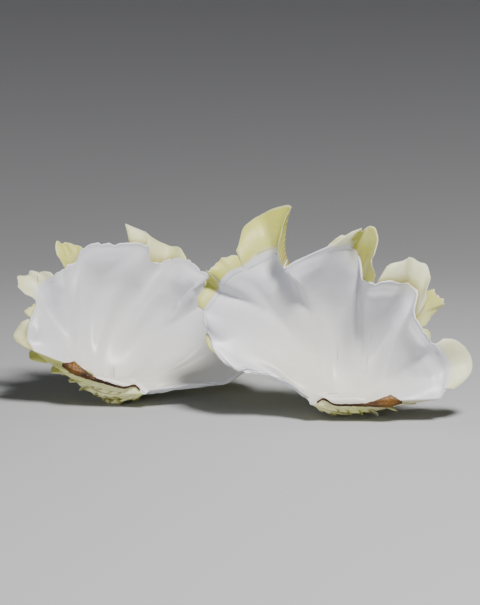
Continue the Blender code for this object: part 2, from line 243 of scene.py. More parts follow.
class Curve:
    """Smooth curve through points in space, read at any share of its length from 0 to 1."""

    def __init__(self, points: np.ndarray, bend: float = 0.5) -> None:
        """Set the knots by the steps' lengths to the power of bend, and slopes weighted by both neighbours.

        Args:
            points: The points, one a row.
            bend: 0.5 keeps the curve free of loops at short steps.
        """
        self.points = np.asarray(points, float)
        steps = np.linalg.norm(np.diff(self.points, axis=0), axis=1) ** bend
        self.knots = np.concatenate([[0.0], np.cumsum(steps)]) / steps.sum()
        self.set_slopes()

    def set_slopes(self) -> None:
        """Work out each knot's slope from the rises on both sides of it."""
        gaps = np.diff(self.knots)[:, None]
        rises = np.diff(self.points, axis=0) / gaps
        inner = (rises[:-1] * gaps[1:] + rises[1:] * gaps[:-1]) / (gaps[1:] + gaps[:-1])
        self.slopes = np.concatenate([rises[:1], inner, rises[-1:]])

    def at(self, share: np.ndarray) -> np.ndarray:
        """Points at shares of the length, by a cubic between the knots around each.

        Args:
            share: Shares from 0 to 1.

        Returns:
            Points, with one more axis for the coordinates.
        """
        share = np.clip(share, 0.0, 1.0)
        k = np.clip(np.searchsorted(self.knots, share, side="right") - 1, 0, len(self.knots) - 2)
        gap = (self.knots[k + 1] - self.knots[k])[..., None]
        t = (share - self.knots[k])[..., None] / gap
        return cubic(t, self.points[k], self.points[k + 1], gap * self.slopes[k], gap * self.slopes[k + 1])


class Skins:
    """Gathers grids and strips of points into one mesh with its UV, its tone and its skins."""

    def __init__(self) -> None:
        """Start with no points and no faces."""
        self.points: list[np.ndarray] = []
        self.spots: list[np.ndarray] = []
        self.tones: list[np.ndarray] = []
        self.faces: list[np.ndarray] = []
        self.slots: list[np.ndarray] = []
        self.count = 0
        self.opened = 0

    def add_points(self, points: np.ndarray, spots: np.ndarray, tone: np.ndarray | float) -> np.ndarray:
        """Add points, none of them below the floor, and return their numbers.

        Args:
            points: Places in mm, coordinates last.
            spots: UV place of each point, the pair last.
            tone: One tone value for all, or one a point.

        Returns:
            The points' numbers in the shape of the grid.
        """
        shape = points.shape[:-1]
        size = int(np.prod(shape))
        self.points.append(np.maximum(points.reshape(-1, 3), [-math.inf, -math.inf, 0.0]))
        self.spots.append(np.broadcast_to(spots, shape + (2,)).reshape(-1, 2))
        self.tones.append(np.broadcast_to(tone, shape).reshape(-1))
        ids = self.count + np.arange(size).reshape(shape)
        self.count += size
        return ids

    def add_grid(self, ids: np.ndarray, skin: Skin | np.ndarray) -> None:
        """Add the four-sided faces between a grid's numbers.

        Args:
            ids: Point numbers, in rows.
            skin: One skin for all faces, or slots that spread over the rows and columns of faces.
        """
        corners = [ids[:-1, :-1], ids[:-1, 1:], ids[1:, 1:], ids[1:, :-1]]
        faces = np.stack(corners, -1).reshape(-1, 4)
        slot = skin.value if isinstance(skin, Skin) else skin
        self.faces.append(faces)
        self.slots.append(np.broadcast_to(slot, (ids.shape[0] - 1, ids.shape[1] - 1)).reshape(-1))

    def add_strip(self, first: np.ndarray, second: np.ndarray, skin: Skin) -> None:
        """Close the gap between two chains with triangles, each chain stepping on by its share of the way.

        Args:
            first: Point numbers of one chain.
            second: Point numbers of the other, which starts and ends beside it.
            skin: The faces' skin.
        """
        a = np.linspace(0, 1, len(first))[1:]
        b = np.linspace(0, 1, len(second))[1:]
        beside_a = np.searchsorted(b, a, side="left")
        beside_b = np.searchsorted(a, b, side="right")
        steps_a = np.stack([first[:-1], first[1:], second[np.minimum(beside_a, len(second) - 1)]], -1)
        steps_b = np.stack([first[np.minimum(beside_b, len(first) - 1)], second[1:], second[:-1]], -1)
        faces = np.concatenate([steps_a, steps_b])
        self.faces.append(np.concatenate([faces, faces[:, -1:]], axis=1))
        self.slots.append(np.full(len(faces), skin.value))

    def add_fan(self, middle: np.ndarray, loop: np.ndarray, skin: Skin) -> None:
        """Add the triangles from a middle point to each step of a chain.

        Args:
            middle: The middle point's number, as an array of one.
            loop: Point numbers of the chain.
            skin: The faces' skin.
        """
        faces = np.stack([np.repeat(middle, len(loop) - 1), loop[1:], loop[:-1], loop[:-1]], -1)
        self.faces.append(faces)
        self.slots.append(np.full(len(faces), skin.value))

    def close_body(self) -> None:
        """Turn the faces added since the last call outward, by the sign of the volume that they enclose."""
        points = np.concatenate(self.points)
        volume = 0.0
        for faces in self.faces[self.opened:]:
            for far, last in ((1, 2), (2, 3)):
                volume += np.linalg.det(points[faces[:, [0, far, last]]]).sum()
        if volume < 0:
            self.faces[self.opened:] = [faces[:, ::-1] for faces in self.faces[self.opened:]]
        self.opened = len(self.faces)

    def mesh_object(self, name: str) -> bpy.types.Object:
        """Make the mesh, smooth, with its UV map and its tone, and link it to the scene.

        Args:
            name: The piece's name.

        Returns:
            The new object, which sits at the origin.
        """
        faces = np.concatenate(self.faces)
        slots = np.concatenate(self.slots)
        same = (faces == np.roll(faces, -1, axis=1)).any(axis=1)
        sides = np.where(same, 3, 4)
        keep = ~(same[:, None] & (faces == np.roll(faces, -1, axis=1)))
        corners = faces[keep]
        data = bpy.data.meshes.new(name)
        data.vertices.add(self.count)
        data.vertices.foreach_set("co", (np.concatenate(self.points) * MM).ravel())
        data.loops.add(len(corners))
        data.loops.foreach_set("vertex_index", corners)
        data.polygons.add(len(faces))
        data.polygons.foreach_set("loop_start", np.concatenate([[0], np.cumsum(sides)[:-1]]))
        data.polygons.foreach_set("material_index", slots)
        data.update(calc_edges=True)
        data.polygons.foreach_set("use_smooth", np.ones(len(faces), bool))
        data.uv_layers.new(name="growth").data.foreach_set("uv", np.concatenate(self.spots)[corners].ravel())
        data.attributes.new("tone", "FLOAT", "POINT").data.foreach_set("value", np.concatenate(self.tones))
        data.validate()
        piece = bpy.data.objects.new(name, data)
        bpy.context.scene.collection.objects.link(piece)
        return piece


@dataclass(frozen=True)
class Pose:
    """How a half stands: angles in degrees, its beak's place in mm, and -1 for the mirrored half."""

    lean: float
    turn: float
    roll: float
    beak: Triple
    mirror: float = 1.0

    def place(self, points: np.ndarray) -> np.ndarray:
        """Put the half's own frame in the world: mirror, roll about Z, stand up about X, turn about Z.

        Args:
            points: Places in the half's own frame, in mm.

        Returns:
            The same places in the world, in mm.
        """
        roll, stand, turn = np.radians([self.roll, 90 - self.lean, self.turn])
        about_roll = np.array([[np.cos(roll), -np.sin(roll), 0], [np.sin(roll), np.cos(roll), 0], [0, 0, 1]])
        about_x = np.array([[1, 0, 0], [0, np.cos(stand), -np.sin(stand)], [0, np.sin(stand), np.cos(stand)]])
        about_turn = np.array([[np.cos(turn), -np.sin(turn), 0], [np.sin(turn), np.cos(turn), 0], [0, 0, 1]])
        turned = about_turn @ about_x @ about_roll @ np.diag([self.mirror, 1.0, 1.0])
        return points @ turned.T + np.asarray(self.beak)


@dataclass(frozen=True)
class LeafScale:
    """One leaf-like scale.

    start and stop are its stretch of the edge, size is the half's size when it grew, reach its length across
    its width in mm, tilt its angles in degrees from root to tip, spread and lean how it fans out and to which
    side, cup how far each side bends to the hollow, follow how much of the rib's roundness it keeps, ragged
    its edge's nicks, pale its tone from lemon 0 to cream 1, thick its thickness in mm, across and along its
    grid. A growing scale carries on the inside without a step.
    """

    start: float
    stop: float
    size: float
    reach: tuple[float, ...]
    tilt: tuple[float, ...] = (14.0, 70.0)
    spread: float = 0.15
    lean: float = 0.0
    cup: tuple[float, float] = (0.15, 0.15)
    follow: float = 0.5
    ragged: float = 0.05
    pale: float = 0.3
    thick: float = 2.2
    across: int = LEAF_ACROSS
    along: int = LEAF_ALONG
    growing: bool = False


@dataclass(frozen=True)
class HingeTooth:
    """A long low ridge on the hinge plate: middle and half length along the hinge, row and height in mm."""

    place: float
    length: float
    row: float
    height: float


@dataclass(frozen=True)
class InnerFold:
    """A soft fold of the inside.

    share is its place at the edge, drift how far it moves toward the hinge's far end by the beak, half_width
    its half width, height its height in mm, below zero for a groove, and last_size where it has faded out.
    """

    share: float
    drift: float
    half_width: float
    height: float
    last_size: float = 0.5


@dataclass
class GrownHalf:
    """The smooth form of a half in its own frame: X along the hinge, Y to the opening, Z to the hollow."""

    edge_points: tuple[Triple, ...]
    front_lift: float
    folds: tuple[InnerFold, ...]
    growing: tuple[tuple[float, float], ...]

    def __post_init__(self) -> None:
        """Make the edge curve, and a softened copy of it for the inside near the beak."""
        self.edge = Curve(np.asarray(self.edge_points, float))
        shares = np.linspace(0, 1, 241)
        fine = self.edge.at(shares)
        apart = np.abs(shares[:, None] - shares[None, :])
        ends = np.minimum(1, 20 * np.minimum(shares, 1 - shares))
        weight = np.exp(-0.5 * (apart / SOFT_WIDTH) ** 2) * ends[None, :] + 1e-6
        soft = weight @ fine / weight.sum(1, keepdims=True)
        hold = eased(np.minimum(shares, 1 - shares) / 0.09)[:, None]
        self.soft = Curve(fine * (1 - hold) + soft * hold, bend=0.01)
        self.soft.knots = shares
        self.soft.set_slopes()

    def coiled(self, points: np.ndarray, share: np.ndarray, size: np.ndarray) -> np.ndarray:
        """The edge at an earlier size: shrunk, and turned back about the hinge, less so to the front.

        Args:
            points: Points of the full-grown edge.
            share: Their shares of the edge.
            size: Earlier sizes, 1 when full-grown.

        Returns:
            The points at those sizes.
        """
        young = 1 - size
        turn = COIL[0] * young + COIL[1] * young**2 + COIL[2] * young**3
        turn = turn * (1 - (1 - FRONT_COIL) * eased((share - FRONT_COIL_FROM) / FRONT_COIL_OVER))
        x, y, z = np.moveaxis(points, -1, 0)
        cos, sin = np.cos(turn), np.sin(turn)
        return size[..., None] * np.stack([x * np.ones_like(turn), y * cos + z * sin, z * cos - y * sin], -1)

    def bulge(self, share: np.ndarray, size: np.ndarray) -> np.ndarray:
        """Cheeks at both ends of the edge, a bow in size, 4s(1 - s), and the belly beside the front end.

        Each is a bell in share; the belly rises with the root of the size and falls by (1 - s) to the 1.3.

        Args:
            share: Shares of the edge.
            size: Sizes.

        Returns:
            The move of each point.
        """
        bow = 4 * size * (1 - size)
        hinge_end = (bow * bell(share / HINGE_END_WIDTH))[..., None] * np.array(HINGE_END_BULGE)
        front_end = (bow * bell((1 - share) / FRONT_END_WIDTH))[..., None] * np.array(FRONT_END_BULGE)
        belly = np.sqrt(size) * np.clip(1 - size, 0, 1) ** 1.3 * bell((share - BELLY_PLACE) / BELLY_WIDTH)
        return hinge_end + front_end + (self.front_lift * belly)[..., None] * np.array([0.0, 1.0, 0.0])

    def rib_share(self, share: np.ndarray, size: np.ndarray) -> np.ndarray:
        """The share of the edge whose rib passes here: ribs curve, so it lies further on at earlier sizes."""
        first, last = RIB_TWIST_ENDS
        return share + RIB_TWIST * (1 - size) * eased(share / first) * eased((1 - share) / last)

    def place_on_rib(self, share: float, size: float) -> float:
        """The share at an earlier size of the rib that meets the edge at a share, by four steps.

        Args:
            share: Where the rib meets the edge.
            size: The earlier size.

        Returns:
            Where the rib is at that size.
        """
        spot = share
        for _ in range(4):
            spot = spot - (float(self.rib_share(np.array(spot), np.array(size))) - share)
        return spot

    def lobed(self, share: np.ndarray, size: np.ndarray) -> np.ndarray:
        """The softened edge with the lobes of the ribs that pass here."""
        rib = self.rib_share(share, size)
        return self.soft.at(share) + self.edge.at(rib) - self.soft.at(rib)

    def lip(self, share: np.ndarray, size: np.ndarray) -> np.ndarray:
        """Bell-shaped swelling to the hollow just below the edge's lobes, so that the edge flares out.

        Args:
            share: Shares of the edge.
            size: Sizes.

        Returns:
            The move of each point.
        """
        lobe = eased((self.edge.at(share) - self.soft.at(share))[..., 2] / 9 + 0.45)
        lobe = lobe * eased(share / 0.06) * eased((1 - share) / 0.1) * self.settled(share)
        swell = bell((size - LIP_SIZE) / LIP_WIDTH) * eased((1 - size) / (1 - LIP_SIZE))
        return (LIP_PROUD * lobe * swell)[..., None] * np.array([0.0, -0.25, 1.0])

    def settled(self, share: np.ndarray) -> np.ndarray:
        """Where the edge has stopped growing: eased down and up again at each growing scale's two ends.

        Args:
            share: Shares of the edge.

        Returns:
            1 at the finished edge, 0 where a growing scale carries it on.
        """
        rest = np.ones_like(share)
        for start, stop in self.growing:
            rest = rest * (1 - eased((share - start + 0.012) / 0.02) * eased((stop + 0.012 - share) / 0.02))
        return rest

    def outside(self, share: np.ndarray, size: np.ndarray) -> np.ndarray:
        """Points of the outside: the coiled edge with the cheeks and the lip.

        Args:
            share: Shares of the edge.
            size: Sizes, of a shape that spreads over the shares.

        Returns:
            The points.
        """
        share, size = np.broadcast_arrays(np.asarray(share, float), np.asarray(size, float))
        smooth_form = self.coiled(self.lobed(share, size), share, size) + self.bulge(share, size)
        return smooth_form + self.lip(share, size)

    def frame(self, share: np.ndarray, size: np.ndarray) -> tuple[np.ndarray, np.ndarray, np.ndarray]:
        """Growth direction, direction along the edge and outward normal, from differences of a small step.

        Args:
            share: Shares of the edge.
            size: Sizes.

        Returns:
            The three directions.
        """
        step = 0.002
        grow = unit(self.outside(share, size + step) - self.outside(share, size - step))
        along = unit(self.outside(share + step, size) - self.outside(share - step, size))
        return grow, along, unit(np.cross(along, grow))

    def hollow(self, share: np.ndarray, size: np.ndarray) -> np.ndarray:
        """The inside before its thickness: the lobes fade toward the beak, and both ends stay flat.

        Args:
            share: Shares of the edge.
            size: Sizes, of a shape that spreads over the shares.

        Returns:
            The points: the softened edge plus the eased share of its lobes, coiled, with cheeks and lip.
        """
        share, size = np.broadcast_arrays(np.asarray(share, float), np.asarray(size, float))
        fold = eased((size - LOBE_FADE_FROM) / (1 - LOBE_FADE_FROM))
        soft = self.soft.at(share)
        shape = soft + (self.lobed(share, size) - soft) * fold[..., None]
        ends = (eased(share / 0.07) * eased((1 - share) / 0.12))[..., None]
        curled = self.coiled(shape, share, size) + self.bulge(share, size) + self.lip(share, size)
        return curled * ends + size[..., None] * shape * (1 - ends)

    def hinge_edge(self, x: np.ndarray) -> np.ndarray:
        """The hinge side's front edge: straight, with a bell-shaped hump beside the beak."""
        rise = HUMP_HEIGHT * bell((x - HUMP_PLACE) / HUMP_WIDTH)
        return np.stack([x, 0.4 + rise, np.full_like(x, 0.6)], -1)

    def inside_keys(self, share: np.ndarray) -> tuple[np.ndarray, np.ndarray]:
        """Key rows of the inside from hinge to rim: the hollow moved in by a thickness that grows inward.

        Args:
            share: Shares of the edge.

        Returns:
            The key rows, and the size that stands for each.
        """
        sizes = np.array(KEY_SIZES)
        grid = self.hollow(share[None, :], sizes[:, None])
        across = np.gradient(grid, axis=1)
        down = np.gradient(grid, sizes, axis=0)
        normal = unit(np.cross(down, across))
        normal = np.where((normal[..., 2:3] < -0.2) & (normal[..., 1:2] < 0), -normal, normal)
        for _ in range(14):
            padded = np.concatenate([normal[:, :1], normal, normal[:, -1:]], axis=1)
            normal = unit(padded[:, :-2] + 2 * padded[:, 1:-1] + padded[:, 2:])
        young = 1 - sizes
        thick = RIM_THICK + (WALL_THICK - RIM_THICK) * eased(young / 0.2)
        thick = thick + (UMBO_THICK - WALL_THICK) * eased((young - 0.12) / 0.45)
        span = np.clip(np.linalg.norm(self.edge.at(share), axis=-1) / 130, 0.1, 1.0)
        ends = 0.12 + 0.88 * eased(share / 0.08)
        skin = grid + normal * (thick[:, None] * (span * ends)[None, :])[..., None]
        hinge = self.hinge_edge(HINGE_REACH + (HINGE_START - HINGE_REACH) * share)
        way = skin[0] - hinge
        flat = unit(way * np.array([1.0, 1.0, 0.0]))
        width = np.minimum(PLATE_WIDTH, 0.45 * np.linalg.norm(way, axis=-1))[:, None]
        up = np.array([0.0, 0.0, 1.0])
        first = hinge + flat * width * 0.4 + up * 0.6
        lip = hinge + flat * width - up * 0.12 * width
        wall = lip * 0.62 + skin[0] * 0.38 + flat * width * -0.25 - up * width * 0.35
        keys = np.concatenate([[hinge, first, lip, wall], skin])
        return keys, np.concatenate([PLATE_SIZES, sizes])

    def keep_wall(self, inner: np.ndarray, heights: np.ndarray, share: np.ndarray) -> np.ndarray:
        """Move the inside forward where the wall would be too thin.

        Each point is measured along the inward normal of the outside's nearest point, looked for among its
        neighbours in share and size, and is moved along that normal to the least thickness.

        Args:
            inner: The inside's grid.
            heights: The size that stands for each row.
            share: The share of each column.

        Returns:
            The inside's grid, nowhere nearer to the outside than the least wall.
        """
        sizes = np.linspace(0.3, 1.0, WALL_ROWS)
        wide, tall = np.meshgrid(share, sizes)
        outer = self.outside(wide, tall)
        inward = -self.frame(wide, tall)[2]
        row = np.clip((heights - 0.3) / 0.7 * (WALL_ROWS - 1), 0, WALL_ROWS - 1).round().astype(int)[:, None]
        column = np.arange(len(share))[None, :]
        nearest = np.full(inner.shape[:2], np.inf)
        move = np.zeros(inner.shape)
        steps = range(-WALL_SEARCH, WALL_SEARCH + 1, 2)
        for step_row in steps:
            for step_column in steps:
                r = np.clip(row + step_row, 0, WALL_ROWS - 1)
                k = np.clip(column + step_column, 0, len(share) - 1)
                way = inner - outer[r, k]
                far = np.linalg.norm(way, axis=-1)
                depth = (way * inward[r, k]).sum(-1)
                better = far < nearest
                nearest = np.where(better, far, nearest)
                short = np.clip(LEAST_WALL - depth, 0, 12)
                move = np.where(better[..., None], inward[r, k] * short[..., None], move)
        hold = eased((heights - 0.4) / 0.08) * eased((0.995 - heights) / 0.01)
        ends = eased(share / 0.05) * eased((1 - share) / 0.1)
        move = move * (hold[:, None] * ends)[..., None]
        for _ in range(6):
            move[1:-1, 1:-1] = 0.5 * move[1:-1, 1:-1] + 0.5 * neighbours(move)
        return inner + move

    def inside(self, share: np.ndarray, rows: int) -> tuple[np.ndarray, np.ndarray]:
        """The inside: a cubic through the key rows, evened out near the hinge by averaging with neighbours.

        Args:
            share: Shares of the edge.
            rows: How many rows from the hinge to the rim.

        Returns:
            The grid of points, and the size that stands for each row.
        """
        keys, sizes = self.inside_keys(share)
        places = np.linspace(0, len(keys) - 1, rows)
        k = np.clip(places.astype(int), 0, len(keys) - 2)
        t = (places - k)[:, None, None]
        slope = np.gradient(keys, axis=0)
        grid = cubic(t, keys[k], keys[k + 1], slope[k], slope[k + 1])
        soften = (eased(places / 1.2) * (1 - 0.93 * eased((places - 4.2) / 3.2)))[1:-1, None, None]
        for _ in range(EVENING_ROUNDS):
            grid[1:-1, 1:-1] += soften * 0.8 * (neighbours(grid) - grid[1:-1, 1:-1])
        heights = np.interp(places, np.arange(len(sizes)), sizes)
        grid = grid + self.fold_relief(share, heights)
        for _ in range(WALL_ROUNDS):
            grid = self.keep_wall(grid, heights, share)
        return grid, heights

    def fold_relief(self, share: np.ndarray, heights: np.ndarray) -> np.ndarray:
        """Move the inside to the front or back along its folds: a bell across each, none at the edge itself.

        Args:
            share: The share of each column.
            heights: The size that stands for each row.

        Returns:
            The move of each point.
        """
        wide, tall = np.meshgrid(share, heights)
        rise = np.zeros_like(wide)
        for fold in self.folds:
            away = (wide - fold.share + fold.drift * (1 - tall)) / fold.half_width
            rise = rise + fold.height * bell(away) * eased((tall - fold.last_size) / 0.3)
        rise = rise * (1 - eased((tall - FOLD_END_FROM) / FOLD_END_OVER))
        return rise[..., None] * np.array([0.0, -0.3, 0.95])


@dataclass
class Valve:
    """One half of the shell, grown as a single piece: wall, ribs, scales and hinge plate."""

    name: str
    node: str
    edge_points: tuple[Triple, ...]
    pose: Pose
    seed: int
    edge_scales: tuple[LeafScale, ...]
    feet: tuple[LeafScale, ...]
    ribs: tuple[tuple[float, float], ...]
    teeth: tuple[HingeTooth, ...]
    folds: tuple[InnerFold, ...]
    front_lift: float
    cracks: tuple["HairCrack", ...]
    row_sizes: tuple[float, ...] = (0.83, 0.68, 0.55, 0.43)
    row_reach: float = 34.0
    young_sizes: tuple[float, ...] = (0.35, 0.27, 0.2)
    skins: Skins = field(default_factory=Skins)

    def __post_init__(self) -> None:
        """Make the smooth form that everything on this half grows from."""
        growing = tuple((scale.start, scale.stop) for scale in self.edge_scales if scale.growing)
        self.form = GrownHalf(self.edge_points, self.front_lift, self.folds, growing)

    def nicks(self, share: np.ndarray, size: np.ndarray) -> np.ndarray:
        """Small wear of the edge along the growth direction: noise and chips that fade within a few mm.

        Args:
            share: Shares of the edge.
            size: Sizes.

        Returns:
            The move of each point in mm.
        """
        spot = np.stack([share * EDGE_LENGTH, np.zeros_like(share)], -1)
        wear = WEAR_DEPTH * ripple(spot, WEAR_WAVE, self.seed + 40, 4) - 0.5
        chips = np.clip(ripple(spot, CHIP_WAVE, self.seed + 41, 3) - 0.75, 0, 1)
        return (wear - CHIP_DEPTH * chips) * worn(size) * self.form.settled(share)

    def outside_relief(self, share: np.ndarray, size: np.ndarray, points: np.ndarray) -> np.ndarray:
        """Height of the fine forms of the outside in mm.

        Riblets are bands along the ribs with narrow grooves between; growth steps rise slowly and drop at
        once; riblets swell with the size to the power of 0.35, steps to 0.6, and a gentle unevenness joins.

        Args:
            share: Shares of the edge.
            size: Sizes.
            points: The smooth outside, for the unevenness.

        Returns:
            Height along the outward normal.
        """
        rib = self.form.rib_share(share, size)
        phase = rib * RIBLETS + RIBLET_SWAY * np.sin(6 * math.pi * rib)
        groove = 1 - eased(np.abs(phase - np.round(phase)) / GROOVE_WIDTH)
        spot = np.stack([share * 300, size * 60], -1)
        ring = GROWTH_STEPS * size**STEP_POWER + 0.35 * ripple(spot, 70, self.seed + 5, 2)
        part = ring - np.floor(ring)
        step = eased(part / 0.8) * (1 - eased((part - 0.84) / 0.16))
        relief = STEP_HEIGHT * step * size**0.6 - RIBLET_DEPTH * groove * size**0.35
        relief = relief + 0.5 * ripple(points, 45, self.seed + 6, 3)
        return relief * eased((size - TIP_SIZE) / 0.1) * (1 - 0.75 * worn(size))

    def wall_grid(self) -> tuple[np.ndarray, np.ndarray]:
        """The wall's points: outside from the beak to the edge, rounded rim, inside down to the hinge.

        The rim is the straight way across the edge plus a half sine along the growth direction.

        Returns:
            The grid in the half's own frame, and each point's share of the rib and size as its UV place.
        """
        share = np.linspace(0, 1, ACROSS)
        sizes = TIP_SIZE + (1 - TIP_SIZE) * np.linspace(0, 1, OUTER_ROWS) ** 0.85
        wide, tall = np.meshgrid(share, sizes)
        outer = self.form.outside(wide, tall)
        grow, _, normal = self.form.frame(wide, tall)
        outer = outer + grow * self.nicks(wide, tall)[..., None]
        outer = outer + normal * self.outside_relief(wide, tall, outer)[..., None]
        inner, inner_sizes = self.form.inside(share, INNER_ROWS)
        tall = np.broadcast_to(inner_sizes[:, None], inner.shape[:2])
        wide = np.broadcast_to(share, inner.shape[:2])
        inner = inner + grow[-1] * self.nicks(wide, tall)[..., None]
        inner = inner + self.teeth_relief(inner)
        part = np.linspace(0, 1, RIM_ROWS + 2)[1:-1, None, None]
        across_rim = inner[-1] - outer[-1]
        proud = RIM_ROUND * np.linalg.norm(across_rim, axis=-1, keepdims=True) * grow[-1]
        rim = outer[-1] + across_rim * part + proud * np.sin(math.pi * part)
        grid = np.concatenate([outer, rim, inner[::-1]])
        heights = np.concatenate([sizes, np.full(RIM_ROWS, 1.0), inner_sizes[::-1]])
        wide, tall = np.meshgrid(share, heights)
        return grid, np.stack([self.form.rib_share(wide, tall), tall], -1)

    def grow_wall(self) -> None:
        """Add the wall's grid, a fan round the beak and a strip down each end, as one closed body."""
        grid, spots = self.wall_grid()
        ids = self.skins.add_points(self.pose.place(grid), spots, 0.5)
        slots = np.full(len(grid) - 1, Skin.INSIDE.value)
        slots[:OUTER_ROWS] = Skin.OUTSIDE.value
        self.skins.add_grid(ids, slots[:, None])
        beak = self.skins.add_points(self.pose.place(np.array([BEAK_TIP])), np.array([0.5, 0.0]), 0.5)
        self.skins.add_fan(beak, ids[0], Skin.OUTSIDE)
        inner_ids = ids[OUTER_ROWS + RIM_ROWS:][::-1]
        outer_and_rim = ids[:OUTER_ROWS + RIM_ROWS]
        hinge_side = np.concatenate([inner_ids[0][::-1], inner_ids[1:, 0]])
        self.skins.add_strip(np.concatenate([beak, outer_and_rim[:, 0]]), hinge_side, Skin.OUTSIDE)
        self.skins.add_strip(inner_ids[:, -1], np.concatenate([beak, outer_and_rim[:, -1]]), Skin.OUTSIDE)
        self.skins.close_body()

    def teeth_relief(self, points: np.ndarray) -> np.ndarray:
        """Move the hinge plate forward where its teeth are: bell-shaped ridges in place along X and in Y.

        Args:
            points: The inside, in the half's own frame.

        Returns:
            The move of each point.
        """
        height = np.zeros(points.shape[:-1])
        for tooth in self.teeth:
            far = np.abs((points[..., 0] - tooth.place) / tooth.length)
            ridge = np.exp(-(far**2.5)) * bell((points[..., 1] - tooth.row) / TOOTH_WIDTH)
            height = height + tooth.height * ridge * eased((points[..., 2] + 16) / 8)
        return height[..., None] * np.array([0.0, 0.25, 0.97])

    def leaf_sheet(self, scale: LeafScale, seed: int) -> tuple[np.ndarray, ...]:
        """The middle surface of a scale, a curved leaf whose root lies in the wall.

        Each column starts on the wall and steps along a direction that turns from the growth direction toward
        the outward normal by the tilt, less so at the sides by the cup. Its length is the reach with nicks.

        Args:
            scale: The scale's measures.
            seed: Seed of its nicks.

        Returns:
            The surface in the half's own frame, the place across of each column from -1 to 1, each point's
            share of the way from the wall to the tip, and the outward normal at the root.
        """
        c = np.linspace(-1, 1, scale.across)
        u = (scale.start + scale.stop) / 2 + (scale.stop - scale.start) / 2 * c
        low = np.full_like(u, scale.size - LEAF_ROOT)
        base = self.form.outside(u, low)
        grow, along, normal = self.form.frame(u, low)
        mid_grow, mid_normal = unit(grow.mean(0)), unit(normal.mean(0))
        grow = unit(scale.follow * grow + (1 - scale.follow) * mid_grow)
        normal = scale.follow * normal + (1 - scale.follow) * mid_normal
        normal = unit(normal - grow * (normal * grow).sum(-1, keepdims=True))
        side = unit(np.cross(mid_grow, mid_normal))
        side = side if (along.mean(0) @ side) > 0 else -side
        torn = ripple(np.stack([c * 40, np.zeros_like(c)], -1), 30, seed, 4) * scale.ragged
        reach = along_line(scale.reach, (c + 1) / 2) * (1 + torn)
        rooted = np.linalg.norm(self.form.outside(u, low + LEAF_ROOT) - base, axis=-1)
        t = np.linspace(0, 1, scale.along)
        total = rooted + reach
        past = np.clip((t[:, None] * total - rooted * 0.8) / np.maximum(reach, 1), 0, 1)
        bent = 1 - scale.cup[0] * np.clip(-c, 0, 1) ** 2 - scale.cup[1] * np.clip(c, 0, 1) ** 2
        angle = along_line((0.0, scale.tilt[0], scale.tilt[0]), t * 4)[:, None]
        tilt = np.radians(angle + (along_line(scale.tilt, past) - scale.tilt[0]) * bent[None, :])
        fan = (scale.spread * c + scale.lean)[None, :, None] * past[..., None]
        step = np.cos(tilt)[..., None] * grow + np.sin(tilt)[..., None] * normal + fan * side
        run = np.cumsum((step[1:] + step[:-1]) / 2, axis=0) / (scale.along - 1)
        path = np.concatenate([np.zeros_like(step[:1]), run])
        inset = RIM_THICK - scale.thick / 2 + 0.15 if scale.growing else ROOT_DEPTH
        return base + path * total[None, :, None] - normal * inset, c, past, mid_normal

    def grow_leaf(self, scale: LeafScale, seed: int) -> None:
        """Add a scale: its sheet, pleated, with growth lines on its back and faint ones in front.

        The thickness is full at the middle and thins to the edge by a square root. A scale that would reach
        below the floor is shorter, as if worn.

        Args:
            scale: The scale's measures.
            seed: Seed of its roughness.
        """
        sheet, c, past, outward = self.leaf_sheet(scale, seed)
        while self.pose.place(sheet)[..., 2].min() < FLOOR_CLEAR and max(scale.reach) > 3:
            scale = replace(scale, reach=tuple(0.8 * part for part in scale.reach))
            sheet, c, past, outward = self.leaf_sheet(scale, seed)
        face = unit(np.cross(np.gradient(sheet, axis=1), np.gradient(sheet, axis=0)))
        face = face if (face @ outward).mean() > 0 else -face
        rng = np.random.default_rng(seed)
        reach = along_line(scale.reach, (c + 1) / 2)
        spot = np.stack([np.broadcast_to(c * 20, past.shape), past * 20], -1)
        lines = np.sin(past * (reach[None, :] * 0.8) + 1.5 * ripple(spot, 22, seed + 1, 2))
        pleats = np.sin(c * rng.uniform(7, 10) + rng.uniform(0, 6))[None, :] * past**1.5
        small = min(1.0, max(scale.reach) / 25)
        rough = eased(past * 3) * small
        sheet = sheet + face * (PLEAT_HEIGHT * pleats * rough)[..., None]
        edge = np.minimum(1, np.minimum((1 - np.abs(c))[None, :] * 5, (1 - past) * 5))
        thick = scale.thick * (0.3 + 0.7 * np.sqrt(np.clip(edge, 0, 1))) * (1 - 0.25 * past)
        back = sheet + face * (thick / 2 + BACK_LINES * lines * rough)[..., None]
        front = sheet - face * (thick / 2 - FRONT_LINES * lines * rough)[..., None]
        spots = np.stack(np.broadcast_arrays((c[None, :] + 1) / 2, past), -1)
        ring = np.concatenate([front, back[:, ::-1]], axis=1)
        ids = self.skins.add_points(
            self.pose.place(ring), np.concatenate([spots, spots[:, ::-1]], axis=1), scale.pale
        )
        half = scale.across
        slots = np.full(2 * half, Skin.GROWING_LEAF.value if scale.growing else Skin.LEAF.value)
        slots[half:-1] = Skin.LEAF_BACK.value
        self.skins.add_grid(np.concatenate([ids, ids[:, :1]], axis=1), slots)
        for row, flip in ((0, True), (-1, False)):
            cap = np.stack([ids[row, :half], ids[row, half:][::-1]])
            self.skins.add_grid(cap[::-1] if flip else cap, Skin.LEAF)
        self.skins.close_body()

    def row_scale(self, centre: float, half_width: float, size: float, drift: float,
                  **form: object) -> LeafScale:
        """One scale of a row, centred on its rib.

        Args:
            centre: The rib's share of the edge.
            half_width: Half the scale's width, as a share of the edge.
            size: The half's size where the rib is looked up.
            drift: How far the scale lies from that size.
            form: The scale's other measures.

        Returns:
            The scale.
        """
        spot = self.form.place_on_rib(centre, size)
        return LeafScale(spot - half_width, spot + half_width, size + drift, **form)

